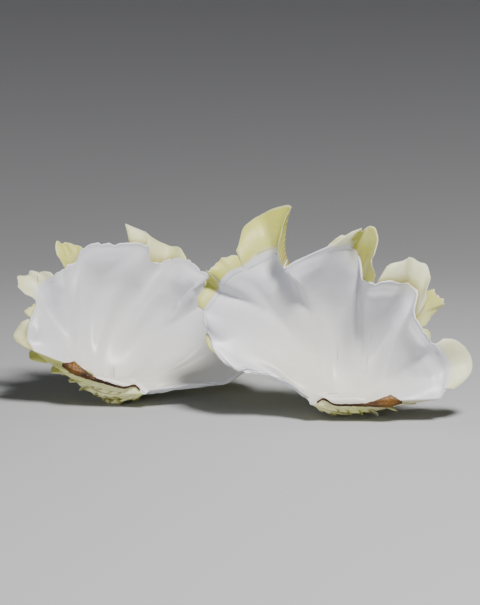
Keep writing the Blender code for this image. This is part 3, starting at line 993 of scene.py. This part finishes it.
    def rib_rows(self) -> list[LeafScale]:
        """The scales that go back along every rib, each row smaller, down to spines by the beak.

        A scale that would stand where the foot does is left out.

        Returns:
            The scales, in the order of the ribs.
        """
        rng = np.random.default_rng(self.seed)
        scales = list(self.feet)
        for centre, half_width in self.ribs:
            drift = rng.uniform(-0.02, 0.02)
            for size in self.row_sizes:
                reach = self.row_reach * (half_width / 0.045) ** 0.5 * size**1.6 * rng.uniform(0.85, 1.15)
                lean = rng.uniform(-0.1, 0.1)
                if size == self.row_sizes[-1] and any(foot.start < centre < foot.stop for foot in self.feet):
                    continue
                scales.append(self.row_scale(
                    centre, half_width * 0.85, size, drift, reach=tuple(reach * k for k in ROW_OUTLINE),
                    tilt=(20.0, 40 + 34 * size), spread=0.22, lean=lean, cup=(0.2, 0.2), follow=0.8,
                    ragged=0.06, pale=0.35, thick=1.8, across=18, along=14,
                ))
        young = np.random.default_rng(self.seed + 90)
        for centre, half_width in self.ribs:
            for size in self.young_sizes:
                reach = 6 * size**0.4 * young.uniform(0.7, 1.2)
                drift = young.uniform(-0.015, 0.015)
                scales.append(self.row_scale(
                    centre, half_width * 0.8, size, drift, reach=tuple(reach * k for k in SPINE_OUTLINE),
                    tilt=(20.0, 50.0), spread=0.1, lean=young.uniform(-0.1, 0.1), cup=(0.1, 0.1), follow=0.8,
                    ragged=0.03, pale=0.1, thick=1.6, across=9, along=7,
                ))
        return scales

    def build(self, finishes: list[bpy.types.Material]) -> bpy.types.Object:
        """Grow the wall and the scales, make the mesh and dress it.

        Args:
            finishes: The materials in the order of the skins.

        Returns:
            The finished piece.
        """
        self.grow_wall()
        for number, scale in enumerate(list(self.edge_scales) + self.rib_rows()):
            self.grow_leaf(scale, self.seed * 100 + number)
        piece = self.skins.mesh_object(self.name)
        for finish in finishes:
            piece.data.materials.append(finish)
        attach(piece, "root")
        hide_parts(self.node)
        return piece


@dataclass
class Ligament:
    """The dried ligament: a crusty bead over and under the hinge's edge, thicker at its raised amber end."""

    name: str
    node: str
    form: GrownHalf
    pose: Pose
    seed: int
    places: tuple[float, ...] = (4, 9, 15, 22, 30, 40, 52, 64, 74, 83, 90, 96, 103, 110)
    heights: tuple[float, ...] = (0.5, 0.4, 0.4, 0.4, 0.4, 0.5, 0.8, 1.4, 3.0, 5.6, 8.0, 9.6, 5.0, 0.8)
    thicks: tuple[float, ...] = (0.5, 0.5, 0.5, 0.5, 0.6, 0.7, 0.9, 1.3, 2.0, 2.8, 3.4, 3.4, 2.2, 0.8)
    rows: int = 190
    around: int = 44
    gap: float = 0.3
    amber_place: float = 93.0
    amber_width: float = 11.0

    def section(self, x: np.ndarray) -> np.ndarray:
        """The eight corners of the bead's L section at places along the hinge.

        Args:
            x: Places along the hinge.

        Returns:
            Corners as places by eight by three.
        """
        corner = self.form.edge.points[0]
        height = np.interp(x, self.places, self.heights)
        thick = np.interp(x, self.places, self.thicks)
        part = np.clip((x - HINGE_REACH) / (corner[0] - HINGE_REACH), 0, 1)[:, None]
        far = np.stack([x, np.full_like(x, corner[1]), np.full_like(x, corner[2] + 0.5)], -1)
        straight = self.form.hinge_edge(np.minimum(x, HINGE_REACH))
        straight[:, 0] = x
        edge = straight * (1 - part) + far * part
        low = self.form.outside(np.zeros(200), np.linspace(0, 1, 200))
        foot = np.stack([x, np.interp(x, low[:, 0], low[:, 1]), np.interp(x, low[:, 0], low[:, 2])], -1)
        length = np.linalg.norm(foot - edge, axis=-1, keepdims=True)
        back = (foot - edge) / length
        width = np.minimum(0.5 * length, 1.0 + 1.3 * thick[:, None])
        down = np.stack([np.zeros_like(x), back[:, 2], -back[:, 1]], -1)
        front = edge[:, 2] + 0.7 + self.gap
        heel = edge + down * (self.gap + 0.25)
        lift = np.stack([np.zeros_like(x), np.zeros_like(x), thick], -1)
        rise = np.stack([x, edge[:, 1] + height, front], -1)
        crown = np.stack([x, edge[:, 1] + height, front + 0.45 * thick + 0.5], -1)
        waist = np.stack([x, edge[:, 1] + 0.5 * height, front + 0.8 * thick + 0.5], -1)
        shoulder = edge + down * thick[:, None] * 0.8 + lift
        tail = heel + back * width
        root = np.stack([x, edge[:, 1] + np.minimum(0.3, height * 0.3) - 0.2, front], -1)
        return np.stack([rise, crown, waist, shoulder, tail + down * thick[:, None], tail, heel, root], 1)

    def build(self, finish: bpy.types.Material) -> bpy.types.Object:
        """Loft the section along the hinge, roughen its outer side and close both ends.

        Args:
            finish: The crust's material.

        Returns:
            The finished piece.
        """
        x = np.linspace(self.places[0], self.places[-1], self.rows)
        corners = self.section(x)
        turn = np.linspace(0, 1, self.around, endpoint=False) * 8
        k = turn.astype(int)
        t = (turn - k)[None, :, None]
        ring = corners[:, k] * (1 - t) + corners[:, (k + 1) % 8] * t
        middle = corners.mean(axis=1, keepdims=True)
        outward = unit(ring - middle)
        # The last three sides face the shell and stay smooth, clear of it
        crumbs = 0.28 * ripple(ring, 7, self.seed, 4) + 0.22 * np.abs(ripple(ring, 3.2, self.seed + 1, 3))
        ring = ring + outward * (crumbs * (k < 5)[None, :])[..., None]
        skins = Skins()
        along = (x - self.places[0]) / (self.places[-1] - self.places[0])
        spots = np.stack(np.broadcast_arrays(along[:, None], (turn / 8)[None, :]), -1)
        amber = bell((x - self.amber_place) / self.amber_width)[:, None] * np.ones(self.around)
        ids = skins.add_points(self.pose.place(ring), spots, amber)
        skins.add_grid(np.concatenate([ids, ids[:, :1]], axis=1), Skin.INSIDE)
        for row in (0, -1):
            tip_place = self.pose.place(ring[row].mean(axis=0))[None]
            tip = skins.add_points(tip_place, spots[row, 0], amber[row, 0])
            loop = np.concatenate([ids[row], ids[row, :1]])
            skins.add_fan(tip, loop if row == 0 else loop[::-1], Skin.INSIDE)
        skins.close_body()
        piece = skins.mesh_object(self.name)
        piece.data.materials.append(finish)
        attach(piece, "root")
        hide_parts(self.node)
        return piece


class Board:
    """A material's nodes, with short ways to add and join them."""

    def __init__(self, name: str) -> None:
        """Start a material with its shader and the coordinates that its patterns read.

        Args:
            name: The material's name.
        """
        self.material = bpy.data.materials.new(name)
        self.material.use_nodes = True
        self.tree = self.material.node_tree
        self.shader = self.tree.nodes["Principled BSDF"]
        self.places = self.tree.nodes.new("ShaderNodeTexCoord").outputs["Object"]
        growth = self.tree.nodes.new("ShaderNodeUVMap")
        growth.uv_map = "growth"
        split = self.tree.nodes.new("ShaderNodeSeparateXYZ")
        self.join(growth.outputs[0], split.inputs[0])
        self.along, self.size = split.outputs[0], split.outputs[1]
        tone = self.tree.nodes.new("ShaderNodeAttribute")
        tone.attribute_name = "tone"
        self.tone = tone.outputs["Fac"]

    def join(self, source: Socket, target: Socket) -> None:
        """Link one socket to another."""
        self.tree.links.new(source, target)

    def feed(self, target: Socket, value: Socket | float | tuple) -> None:
        """Set an input to a constant, or link it to an output."""
        if isinstance(value, Socket):
            self.join(value, target)
        else:
            target.default_value = value

    def calc(self, operation: str, first: Socket | float, second: Socket | float = 0.0,
             third: Socket | float = 0.0) -> Socket:
        """Add a math node.

        Args:
            operation: The node's operation.
            first: A socket or a number.
            second: A socket or a number.
            third: A socket or a number.

        Returns:
            Its output.
        """
        node = self.tree.nodes.new("ShaderNodeMath")
        node.operation = operation
        for target, value in zip(node.inputs, (first, second, third)):
            self.feed(target, value)
        return node.outputs[0]

    def times(self, first: Socket | float, second: Socket | float) -> Socket:
        """Multiply two sockets or numbers."""
        return self.calc("MULTIPLY", first, second)

    def span(self, value: Socket, low: float, high: float, first: float = 0.0, last: float = 1.0) -> Socket:
        """Map a value from low..high to first..last, eased and held.

        Args:
            value: The value's socket.
            low: Where the result starts to change.
            high: Where it stops.
            first: The result at low.
            last: The result at high.

        Returns:
            The result's socket.
        """
        node = self.tree.nodes.new("ShaderNodeMapRange")
        node.interpolation_type = "SMOOTHSTEP"
        for target, number in zip(node.inputs[:5], (value, low, high, first, last)):
            self.feed(target, number)
        return node.outputs[0]

    def noise(self, scale: float, detail: float = 4.0, rough: float = 0.55,
              stretch: Triple = (1.0, 1.0, 1.0)) -> Socket:
        """Add noise on the object's own coordinates.

        Args:
            scale: Waves a metre.
            detail: Octaves.
            rough: How strong the fine octaves are.
            stretch: Scale along each axis.

        Returns:
            The noise's value, about 0.5.
        """
        mapping = self.tree.nodes.new("ShaderNodeMapping")
        mapping.inputs["Scale"].default_value = stretch
        self.join(self.places, mapping.inputs["Vector"])
        node = self.tree.nodes.new("ShaderNodeTexNoise")
        self.join(mapping.outputs[0], node.inputs["Vector"])
        for key, number in (("Scale", scale), ("Detail", detail), ("Roughness", rough)):
            node.inputs[key].default_value = number
        return node.outputs["Fac"]

    def mix(self, amount: Socket | float, first: Socket | Triple, second: Socket | Triple) -> Socket:
        """Mix two colours.

        Args:
            amount: Share of the second, a socket or a number.
            first: A colour or a socket.
            second: A colour or a socket.

        Returns:
            The mixed colour.
        """
        node = self.tree.nodes.new("ShaderNodeMix")
        node.data_type = "RGBA"
        self.feed(node.inputs[0], amount)
        for target, colour in ((node.inputs[6], first), (node.inputs[7], second)):
            self.feed(target, (*colour, 1.0) if isinstance(colour, tuple) else colour)
        return node.outputs[2]

    def bump(self, height: Socket, depth: float) -> None:
        """Bump the surface.

        Args:
            height: The height's socket.
            depth: The depth of a height of one, in metres.
        """
        node = self.tree.nodes.new("ShaderNodeBump")
        node.inputs["Strength"].default_value = 1.0
        node.inputs["Distance"].default_value = depth
        self.join(height, node.inputs["Height"])
        self.join(node.outputs[0], self.shader.inputs["Normal"])

    def coat(self, colour: Socket, rough: Socket | float, **values: float | Triple) -> bpy.types.Material:
        """Join the colour and the roughness, and set other shader inputs.

        Args:
            colour: The colour's socket.
            rough: The roughness, a socket or a number.
            values: Other inputs by name, with an underline for each space.

        Returns:
            The finished material.
        """
        self.join(colour, self.shader.inputs["Base Color"])
        self.feed(self.shader.inputs["Roughness"], rough)
        for key, value in values.items():
            self.shader.inputs[key.replace("_", " ")].default_value = value
        return self.material


@dataclass(frozen=True)
class HairCrack:
    """A hairline in the inside: its ends in mm across and up, seen from the front, and its half width."""

    start: tuple[float, float]
    stop: tuple[float, float]
    width: float = 0.45

    def mask(self, board: Board) -> Socket:
        """One on the hairline, by the distance from the line through its ends, with a small wander.

        Args:
            board: The material's nodes.

        Returns:
            The mask's socket.
        """
        way = np.subtract(self.stop, self.start) * MM
        length = float(np.hypot(*way))
        way = way / length
        pair = []
        for direction in (way, np.array([-way[1], way[0]])):
            node = board.tree.nodes.new("ShaderNodeVectorMath")
            node.operation = "DOT_PRODUCT"
            board.join(board.places, node.inputs[0])
            node.inputs[1].default_value = (direction[0], 0.0, direction[1])
            offset = float(np.dot(np.multiply(self.start, MM), direction))
            pair.append(board.calc("SUBTRACT", node.outputs["Value"], offset))
        wander = board.times(board.calc("SUBTRACT", board.noise(160, 2), 0.5), 0.004)
        away = board.calc("ABSOLUTE", board.calc("ADD", pair[1], wander))
        inside = board.times(board.span(pair[0], 0.0, 0.003), board.span(pair[0], length, length - 0.003))
        return board.times(inside, board.span(away, self.width * MM, self.width * MM * 0.3))


@dataclass(frozen=True)
class PorcelainFinish:
    """The inside: cool white by the opening, cream toward the hinge, satin, with faint growth lines."""

    name: str
    cracks: tuple[HairCrack, ...]
    white: Triple = (0.64, 0.64, 0.68)
    cream: Triple = (0.67, 0.63, 0.54)
    stain: Triple = (0.56, 0.51, 0.40)
    crack: Triple = (0.30, 0.27, 0.23)

    def make(self) -> bpy.types.Material:
        """Set the colour by the size it grew at, clouded by noise, with hairlines.

        Returns:
            The material.
        """
        board = Board(self.name)
        cloud = board.noise(9, 3)
        young = board.span(board.size, 0.30, 0.95, 0.75, 0.0)
        aged = board.calc("ADD", young, board.span(cloud, 0.4, 0.75, 0.0, 0.25))
        colour = board.mix(aged, self.white, self.cream)
        spots = board.span(board.noise(26, 6, 0.65), 0.60, 0.80, 0.0, 0.35)
        spots = board.times(spots, board.span(board.size, 0.1, 0.5, 1.0, 0.25))
        colour = board.mix(spots, colour, self.stain)
        for crack in self.cracks:
            colour = board.mix(board.times(crack.mask(board), 0.75), colour, self.crack)
        wave = board.calc("SINE", board.calc("MULTIPLY_ADD", board.size, 190.0, board.times(cloud, 20.0)))
        board.bump(board.calc("MULTIPLY_ADD", wave, 0.04, board.noise(70, 4)), 0.00035)
        rough = board.span(board.noise(30, 4), 0.3, 0.7, 0.34, 0.46)
        return board.coat(colour, rough, Subsurface_Weight=0.05, Subsurface_Scale=0.003,
                          Subsurface_Radius=(1.0, 0.85, 0.65))


@dataclass(frozen=True)
class ChalkFinish:
    """The outside: yellow-green to cream, grey-brown between riblets, white by the front end, chalky."""

    name: str
    green: Triple = (0.74, 0.77, 0.20)
    cream: Triple = (0.90, 0.90, 0.48)
    chalk: Triple = (0.84, 0.82, 0.66)
    white: Triple = (0.80, 0.80, 0.80)
    groove: Triple = (0.20, 0.16, 0.09)

    def make(self) -> bpy.types.Material:
        """Set the colour in bands by riblet and growth step, dark in the grooves, with chalky patches.

        Returns:
            The material.
        """
        board = Board(self.name)
        sway = board.times(board.calc("SINE", board.times(board.along, 6 * math.pi)), RIBLET_SWAY)
        phase = board.calc("MULTIPLY_ADD", board.along, float(RIBLETS), sway)
        away = board.calc("ABSOLUTE", board.calc("SUBTRACT", phase, board.calc("ROUND", phase)))
        cloud = board.noise(14, 4)
        fine = board.noise(85, 6, 0.6)
        line = board.times(board.span(away, 0.16, 0.03), board.span(fine, 0.35, 0.55, 0.5, 1.0))
        line = board.times(line, board.span(board.size, 0.35, 0.85, 0.9, 0.3))
        grown = board.calc("POWER", board.size, STEP_POWER)
        rings = board.calc("MULTIPLY_ADD", grown, 3.0 * GROWTH_STEPS, board.times(cloud, 3.0))
        part = board.calc("FRACT", rings)
        colour = board.mix(board.span(cloud, 0.35, 0.65), self.green, self.cream)
        patches = board.span(board.noise(5, 5, 0.6), 0.52, 0.68, 0.0, 0.8)
        patches = board.times(patches, board.span(board.size, 0.35, 0.7))
        colour = board.mix(patches, colour, self.chalk)
        late = board.span(board.size, 0.25, 0.55, 0.0, 0.2)
        colour = board.mix(board.times(board.span(part, 0.8, 0.98), late), colour, self.groove)
        colour = board.mix(line, colour, self.groove)
        colour = board.mix(board.span(board.along, 0.80, 0.90), colour, self.white)
        height = board.calc("MULTIPLY_ADD", board.span(part, 0.0, 0.9), 0.4, board.times(fine, 0.8))
        board.bump(height, 0.0006)
        rough = board.span(fine, 0.3, 0.7, 0.62, 0.85)
        return board.coat(colour, rough, Subsurface_Weight=0.05, Subsurface_Scale=0.002)


@dataclass(frozen=True)
class LeafFinish:
    """The scales: pale lemon, cream by tone, white toward the thin edge, and a root colour, which on the free
    scales is olive pigment darkened as painted shade.
    """

    name: str
    lemon: Triple = (0.51, 0.51, 0.10)
    cream: Triple = (0.72, 0.72, 0.46)
    white: Triple = (0.76, 0.77, 0.60)
    # Olive toward the free scales' roots: partly their own pigment, partly painted shade deep in their
    # channels and beside the wall
    root: Triple = (0.40, 0.36, 0.10)
    root_reach: tuple[float, float] = (0.5, 0.0)
    grown_lines: float = 0.15
    cracks: tuple[HairCrack, ...] = ()
    crack: Triple = (0.20, 0.16, 0.12)

    def make(self) -> bpy.types.Material:
        """Set the colour by tone and by the way from the edge, and the bump by growth lines.

        Returns:
            The material.
        """
        board = Board(self.name)
        cloud = board.noise(16, 4)
        fine = board.noise(90, 5)
        pale = board.calc("ADD", board.tone, board.span(cloud, 0.3, 0.7, -0.2, 0.25))
        colour = board.mix(board.span(pale, 0.0, 1.0), self.lemon, self.cream)
        sides = board.calc("ABSOLUTE", board.calc("MULTIPLY_ADD", board.along, 2.0, -1.0))
        edge = board.calc("MAXIMUM", board.span(sides, 0.93, 1.0), board.span(board.size, 0.955, 1.0))
        colour = board.mix(board.times(edge, 0.4), colour, self.white)
        # Toward the root the colour turns to the root colour; on free scales this olive is partly painted
        # shade of the channel's depth, on growing scales it is the porcelain white
        colour = board.mix(board.span(board.size, *self.root_reach), colour, self.root)
        for crack in self.cracks:
            colour = board.mix(board.times(crack.mask(board), 0.8), colour, self.crack)
        lines = board.calc("SINE", board.calc("MULTIPLY_ADD", board.size, 75.0, board.times(cloud, 16.0)))
        board.bump(board.calc("MULTIPLY_ADD", lines, 0.5 * self.grown_lines, board.times(fine, 0.7)), 0.0005)
        rough = board.span(fine, 0.3, 0.7, 0.42, 0.58)
        return board.coat(colour, rough, Subsurface_Weight=0.15, Subsurface_Scale=0.003,
                          Subsurface_Radius=(1.0, 0.9, 0.4))


@dataclass(frozen=True)
class LigamentFinish:
    """Dried horn: dark brown and crumbly, clear amber where it is thick."""

    name: str
    brown: Triple = (0.028, 0.015, 0.008)
    rust: Triple = (0.090, 0.038, 0.012)
    amber: Triple = (0.19, 0.080, 0.006)
    crumb: Triple = (0.40, 0.34, 0.24)

    def make(self) -> bpy.types.Material:
        """Set the colour to amber by tone, streaked brown, with pale crumbs.

        Returns:
            The material.
        """
        board = Board(self.name)
        streak = board.noise(150, 5, 0.6, (0.25, 1.0, 1.0))
        fine = board.noise(420, 4, 0.6)
        colour = board.mix(board.span(streak, 0.35, 0.65), self.brown, self.rust)
        glow = board.times(board.tone, board.span(streak, 0.25, 0.6, 0.45, 1.0))
        colour = board.mix(glow, colour, self.amber)
        crumbs = board.times(board.span(fine, 0.62, 0.7), board.span(board.tone, 0.0, 0.6, 0.6, 0.0))
        colour = board.mix(crumbs, colour, self.crumb)
        board.bump(board.calc("ADD", streak, fine), 0.0008)
        return board.coat(colour, board.span(board.tone, 0.0, 0.8, 0.68, 0.34), Specular_IOR_Level=0.3)


@dataclass(frozen=True)
class SoftLight:
    """A square soft light: its place and side in metres, its power in watts and its colour."""

    name: str
    place: Triple
    side: float
    power: float
    colour: Triple

    def build(self, aim: Triple) -> bpy.types.Object:
        """Add the light, turned to a place.

        Args:
            aim: The place that it faces.

        Returns:
            The light.
        """
        data = bpy.data.lights.new(self.name, "AREA")
        data.size = self.side
        data.energy = self.power
        data.color = self.colour
        lamp = bpy.data.objects.new(self.name, data)
        bpy.context.scene.collection.objects.link(lamp)
        lamp.location = self.place
        way = np.subtract(aim, self.place)
        flat = math.hypot(way[0], way[1])
        lamp.rotation_euler = (math.atan2(flat, -way[2]), 0.0, math.atan2(-way[0], way[1]))
        return lamp


@dataclass
class Studio:
    """Pale floor, soft lights and the camera. Distances in metres, the lens and its sensor in mm."""

    target: Triple = (0.0004, -0.113, 0.1532)
    distance: float = 1.6
    elevation: float = 10.0
    lens: float = 77.4
    sensor: float = 36.0
    sight: float = 60.0
    floor_colour: Triple = (0.42, 0.42, 0.435)
    floor_cloud: Triple = (0.45, 0.45, 0.46)
    floor_radius: float = 9.0
    floor_flat: float = 1.2
    floor_rise: float = 3.2
    sky_colour: Triple = (0.80, 0.84, 0.90)
    sky_strength: float = 0.05
    lit_place: Triple = (0.0, 0.0, 0.12)
    lights: tuple[SoftLight, ...] = (
        SoftLight("key", (0.6, -0.95, 2.0), 0.55, 94.0, (1.0, 0.99, 0.97)),
        SoftLight("fill", (-0.9, -1.9, 0.45), 0.8, 15.0, (0.90, 0.94, 1.0)),
    )

    def floor(self) -> bpy.types.Object:
        """Lay a round floor that rises far out: rings of points at growing radii, from one middle point.

        Returns:
            The floor.
        """
        radii = self.floor_radius * np.linspace(0, 1, 33)[1:] ** 1.5
        turn = np.linspace(0, 2 * math.pi, 128, endpoint=False)
        ring = np.stack([np.cos(turn), np.sin(turn), np.zeros_like(turn)], -1)
        rise = self.floor_rise * eased((radii - self.floor_flat) / (self.floor_radius - self.floor_flat))
        grid = radii[:, None, None] * ring[None] + rise[:, None, None] * np.array([0.0, 0.0, 1.0])
        skins = Skins()
        ids = skins.add_points(grid / MM, np.zeros(2), 0.0)
        middle = skins.add_points(np.zeros((1, 3)), np.zeros(2), 0.0)
        wrapped = np.concatenate([ids, ids[:, :1]], axis=1)
        skins.add_grid(wrapped[::-1], Skin.INSIDE)
        skins.add_fan(middle, wrapped[0][::-1], Skin.INSIDE)
        floor = skins.mesh_object("studio_floor")
        board = Board("floor_paper")
        shade = board.span(board.noise(1.3, 2), 0.2, 0.8, 0.0, 0.15)
        floor.data.materials.append(board.coat(board.mix(shade, self.floor_colour, self.floor_cloud), 0.75))
        return floor

    def camera(self) -> bpy.types.Object:
        """Set the camera on the photograph's line of sight, square to the front and a little above.

        Returns:
            The camera.
        """
        data = bpy.data.cameras.new("camera")
        data.lens = self.lens
        data.sensor_width = self.sensor
        data.clip_end = self.sight
        camera = bpy.data.objects.new("camera", data)
        bpy.context.scene.collection.objects.link(camera)
        rise = math.radians(self.elevation)
        camera.location = (
            self.target[0],
            self.target[1] - self.distance * math.cos(rise),
            self.target[2] + self.distance * math.sin(rise),
        )
        camera.rotation_euler = (math.pi / 2 - rise, 0.0, 0.0)
        bpy.context.scene.camera = camera
        return camera

    def build(self) -> None:
        """Set up the floor, the world, the lights and the camera."""
        self.camera()
        self.floor()
        world = bpy.data.worlds.new("studio")
        world.use_nodes = True
        sky = world.node_tree.nodes["Background"]
        sky.inputs["Color"].default_value = (*self.sky_colour, 1.0)
        sky.inputs["Strength"].default_value = self.sky_strength
        bpy.context.scene.world = world
        for light in self.lights:
            light.build(self.lit_place)


TEETH = (HingeTooth(28.0, 16.0, 16.0, 6.0), HingeTooth(84.0, 15.0, 12.0, 4.0))
LEFT_VALVE = Valve(
    name="left_valve_skin",
    node="left_valve",
    edge_points=LEFT_EDGE,
    pose=Pose(20.0, 0.0, 0.0, (92.4, -113.0, 23.4)),
    seed=7,
    edge_scales=(
        LeafScale(0.022, 0.102, 1.0, (8, 16, 24, 30, 33, 32, 29, 24, 12), (11, 42), 0.30, -0.18, (0.1, 0.25),
                  ragged=0.02, pale=0.9, growing=True),
        LeafScale(0.112, 0.134, 0.99, (2, 5, 6, 2), (10, 40), 0.1, across=12, along=10),
        LeafScale(0.136, 0.192, 0.985, (6, 23, 41, 43, 37, 26, 24), (20, 41), -0.16, -0.11, (0.46, 0.1),
                  ragged=0.08),
        LeafScale(0.153, 0.291, 0.99, (28, 35, 36, 36, 32, 34, 34, 27, 25), (6, 36), -0.26, 0.23,
                  (0.3, -0.05), ragged=0.07, pale=0.85),
        LeafScale(0.294, 0.404, 0.97, (16, 40, 48, 52, 47, 29, 29), (3, 15), -0.40, -0.31, (-0.3, 0.6),
                  follow=0.6, ragged=0.03, pale=0.1),
        LeafScale(0.390, 0.438, 0.985, (20, 24, 22, 18, 10), (-5, 4), 0.0, -0.8, (0.0, 0.0), follow=0.6,
                  pale=1.5, across=18, along=14, growing=True),
        LeafScale(0.398, 0.436, 0.985, (12, 11, 12, 10, 5), (9, 42), 0.0, -0.15, pale=0.35),
        LeafScale(0.518, 0.632, 1.0, (42, 61, 65, 61, 59, 56, 48, 35, 24), (-3, 58), 0.20, -0.16, (0.1, 0.3),
                  ragged=0.02, pale=0.1, growing=True),
        LeafScale(0.631, 0.686, 1.0, (14, 20, 21, 22, 21, 19, 22), (1, 40), 0.34, 0.18, (0.2, 0.5),
                  pale=0.1, growing=True),
        LeafScale(0.686, 0.761, 1.0, (24, 20, 21, 20, 18, 16, 8), (-4, 37), 0.0, 0.24, (0.5, 0.1),
                  pale=0.2, growing=True),
        LeafScale(0.806, 0.848, 0.99, (2, 7, 8, 6, 2), (10, 30), 0.1, pale=0.3, across=16, along=12),
    ),
    feet=(
        LeafScale(0.309, 0.381, 0.418, (5, 23, 28, 23, 5), (20, 75), 0.22, thick=2.4, across=22, along=18),
    ),
    ribs=((0.055, 0.038), (0.205, 0.046), (0.345, 0.042), (0.582, 0.043), (0.722, 0.034), (0.818, 0.026)),
    teeth=TEETH,
    folds=(
        InnerFold(0.070, 0.05, 0.030, 9.0, 0.60), InnerFold(0.130, 0.10, 0.034, -8.0),
        InnerFold(0.205, 0.25, 0.032, 5.0), InnerFold(0.305, 0.38, 0.036, -8.0),
        InnerFold(0.410, 0.36, 0.036, 5.0), InnerFold(0.500, 0.33, 0.034, -3.0),
        InnerFold(0.600, 0.30, 0.036, 3.0), InnerFold(0.685, 0.28, 0.032, -6.0),
    ),
    front_lift=52.0,
    cracks=(
        HairCrack((128, 80), (128, 61), 0.6), HairCrack((171, 101), (170, 84), 0.5),
        HairCrack((167, 72), (163, 48), 0.5), HairCrack((189, 134), (189, 130), 0.8),
        HairCrack((20, 203), (41, 210), 0.8), HairCrack((43, 204), (51, 202), 0.9),
    ),
)
RIGHT_VALVE = Valve(
    name="right_valve_skin",
    node="right_valve",
    edge_points=RIGHT_EDGE,
    pose=Pose(36.5, 12.0, -21.0, (-126.6, -47.0, 21.4), -1.0),
    seed=8,
    edge_scales=(
        LeafScale(0.000, 0.067, 1.0, (13, 19, 20, 19, 15, 11, 5), (18, 50), -0.2, -0.05, (0.2, -0.25),
                  pale=0.6),
        LeafScale(0.070, 0.103, 0.995, (8, 14, 9, 5, 2), (7, 46), 0.0, 0.1, ragged=0.1, pale=0.5),
        LeafScale(0.109, 0.180, 1.0, (16, 27, 25, 31, 26, 26, 22, 16, 8), (11, 49), 0.04, -0.36, (0.2, 0.05),
                  ragged=0.08, pale=0.8, growing=True),
        LeafScale(0.217, 0.284, 0.98, (25, 44, 38, 35, 27, 16, 8), (8, 45), 0.19, 0.08, (0.42, 0.2),
                  ragged=0.03, pale=0.1),
        LeafScale(0.361, 0.501, 0.99, (28, 21, 24, 36, 41, 32, 26, 20, 9), (20, 47), -0.16, -0.3, (0.22, 0.1),
                  pale=0.5),
        LeafScale(0.600, 0.700, 0.99, (6, 18, 24, 20, 8), (6, 60), 0.1, pale=0.4),
        LeafScale(0.750, 0.800, 1.0, (3, 14, 4), (8, 60), 0.1, pale=0.4, across=16, along=12),
    ),
    feet=(
        LeafScale(0.408, 0.492, 0.43, (5, 21, 25, 21, 5), (20, 60), 0.22, thick=2.4, across=22, along=18),
    ),
    ribs=((0.030, 0.030), (0.145, 0.044), (0.245, 0.040), (0.450, 0.050), (0.650, 0.036), (0.775, 0.030)),
    teeth=TEETH,
    folds=(
        InnerFold(0.105, -0.14, 0.034, -6.0), InnerFold(0.280, 0.50, 0.034, 5.0),
        InnerFold(0.350, 0.34, 0.028, -5.0), InnerFold(0.400, 0.34, 0.028, 6.0),
        InnerFold(0.510, 0.37, 0.036, 9.0), InnerFold(0.600, 0.20, 0.042, -9.0),
        InnerFold(0.680, 0.05, 0.045, 9.0, 0.2),
    ),
    front_lift=29.0,
    cracks=(
        HairCrack((-184, 33), (-184, 29), 0.8), HairCrack((-252, 179), (-272, 165), 0.9),
        HairCrack((-272, 166), (-270, 154), 0.9),
    ),
)


def main() -> None:
    """Build the studio, both halves and both ligaments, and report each."""
    logging.basicConfig(level=logging.INFO, format="%(message)s")
    Studio().build()
    LOG.info("studio: floor, two lights and camera")
    chalk = ChalkFinish("chalk_outside").make()
    leaf = LeafFinish("lemon_scales").make()
    leaf_back = LeafFinish("lemon_scale_backs", grown_lines=1.0).make()
    horn = LigamentFinish("dried_ligament").make()
    for valve in (LEFT_VALVE, RIGHT_VALVE):
        inside = PorcelainFinish(f"{valve.node}_porcelain", valve.cracks).make()
        growing = LeafFinish(
            f"{valve.node}_growing_scales", root=PorcelainFinish.white, root_reach=(0.26, 0.05),
            cracks=valve.cracks,
        ).make()
        piece = valve.build([inside, chalk, leaf, leaf_back, growing])
        LOG.info("%s: %d triangles", piece.name, sum(len(face.vertices) - 2 for face in piece.data.polygons))
        side = valve.node.split("_")[0]
        crust = Ligament(f"{side}_ligament_crust", f"{side}_ligament", valve.form, valve.pose, valve.seed)
        bead = crust.build(horn)
        LOG.info("%s: %d faces", bead.name, len(bead.data.polygons))


if __name__ == "__main__":
    main()
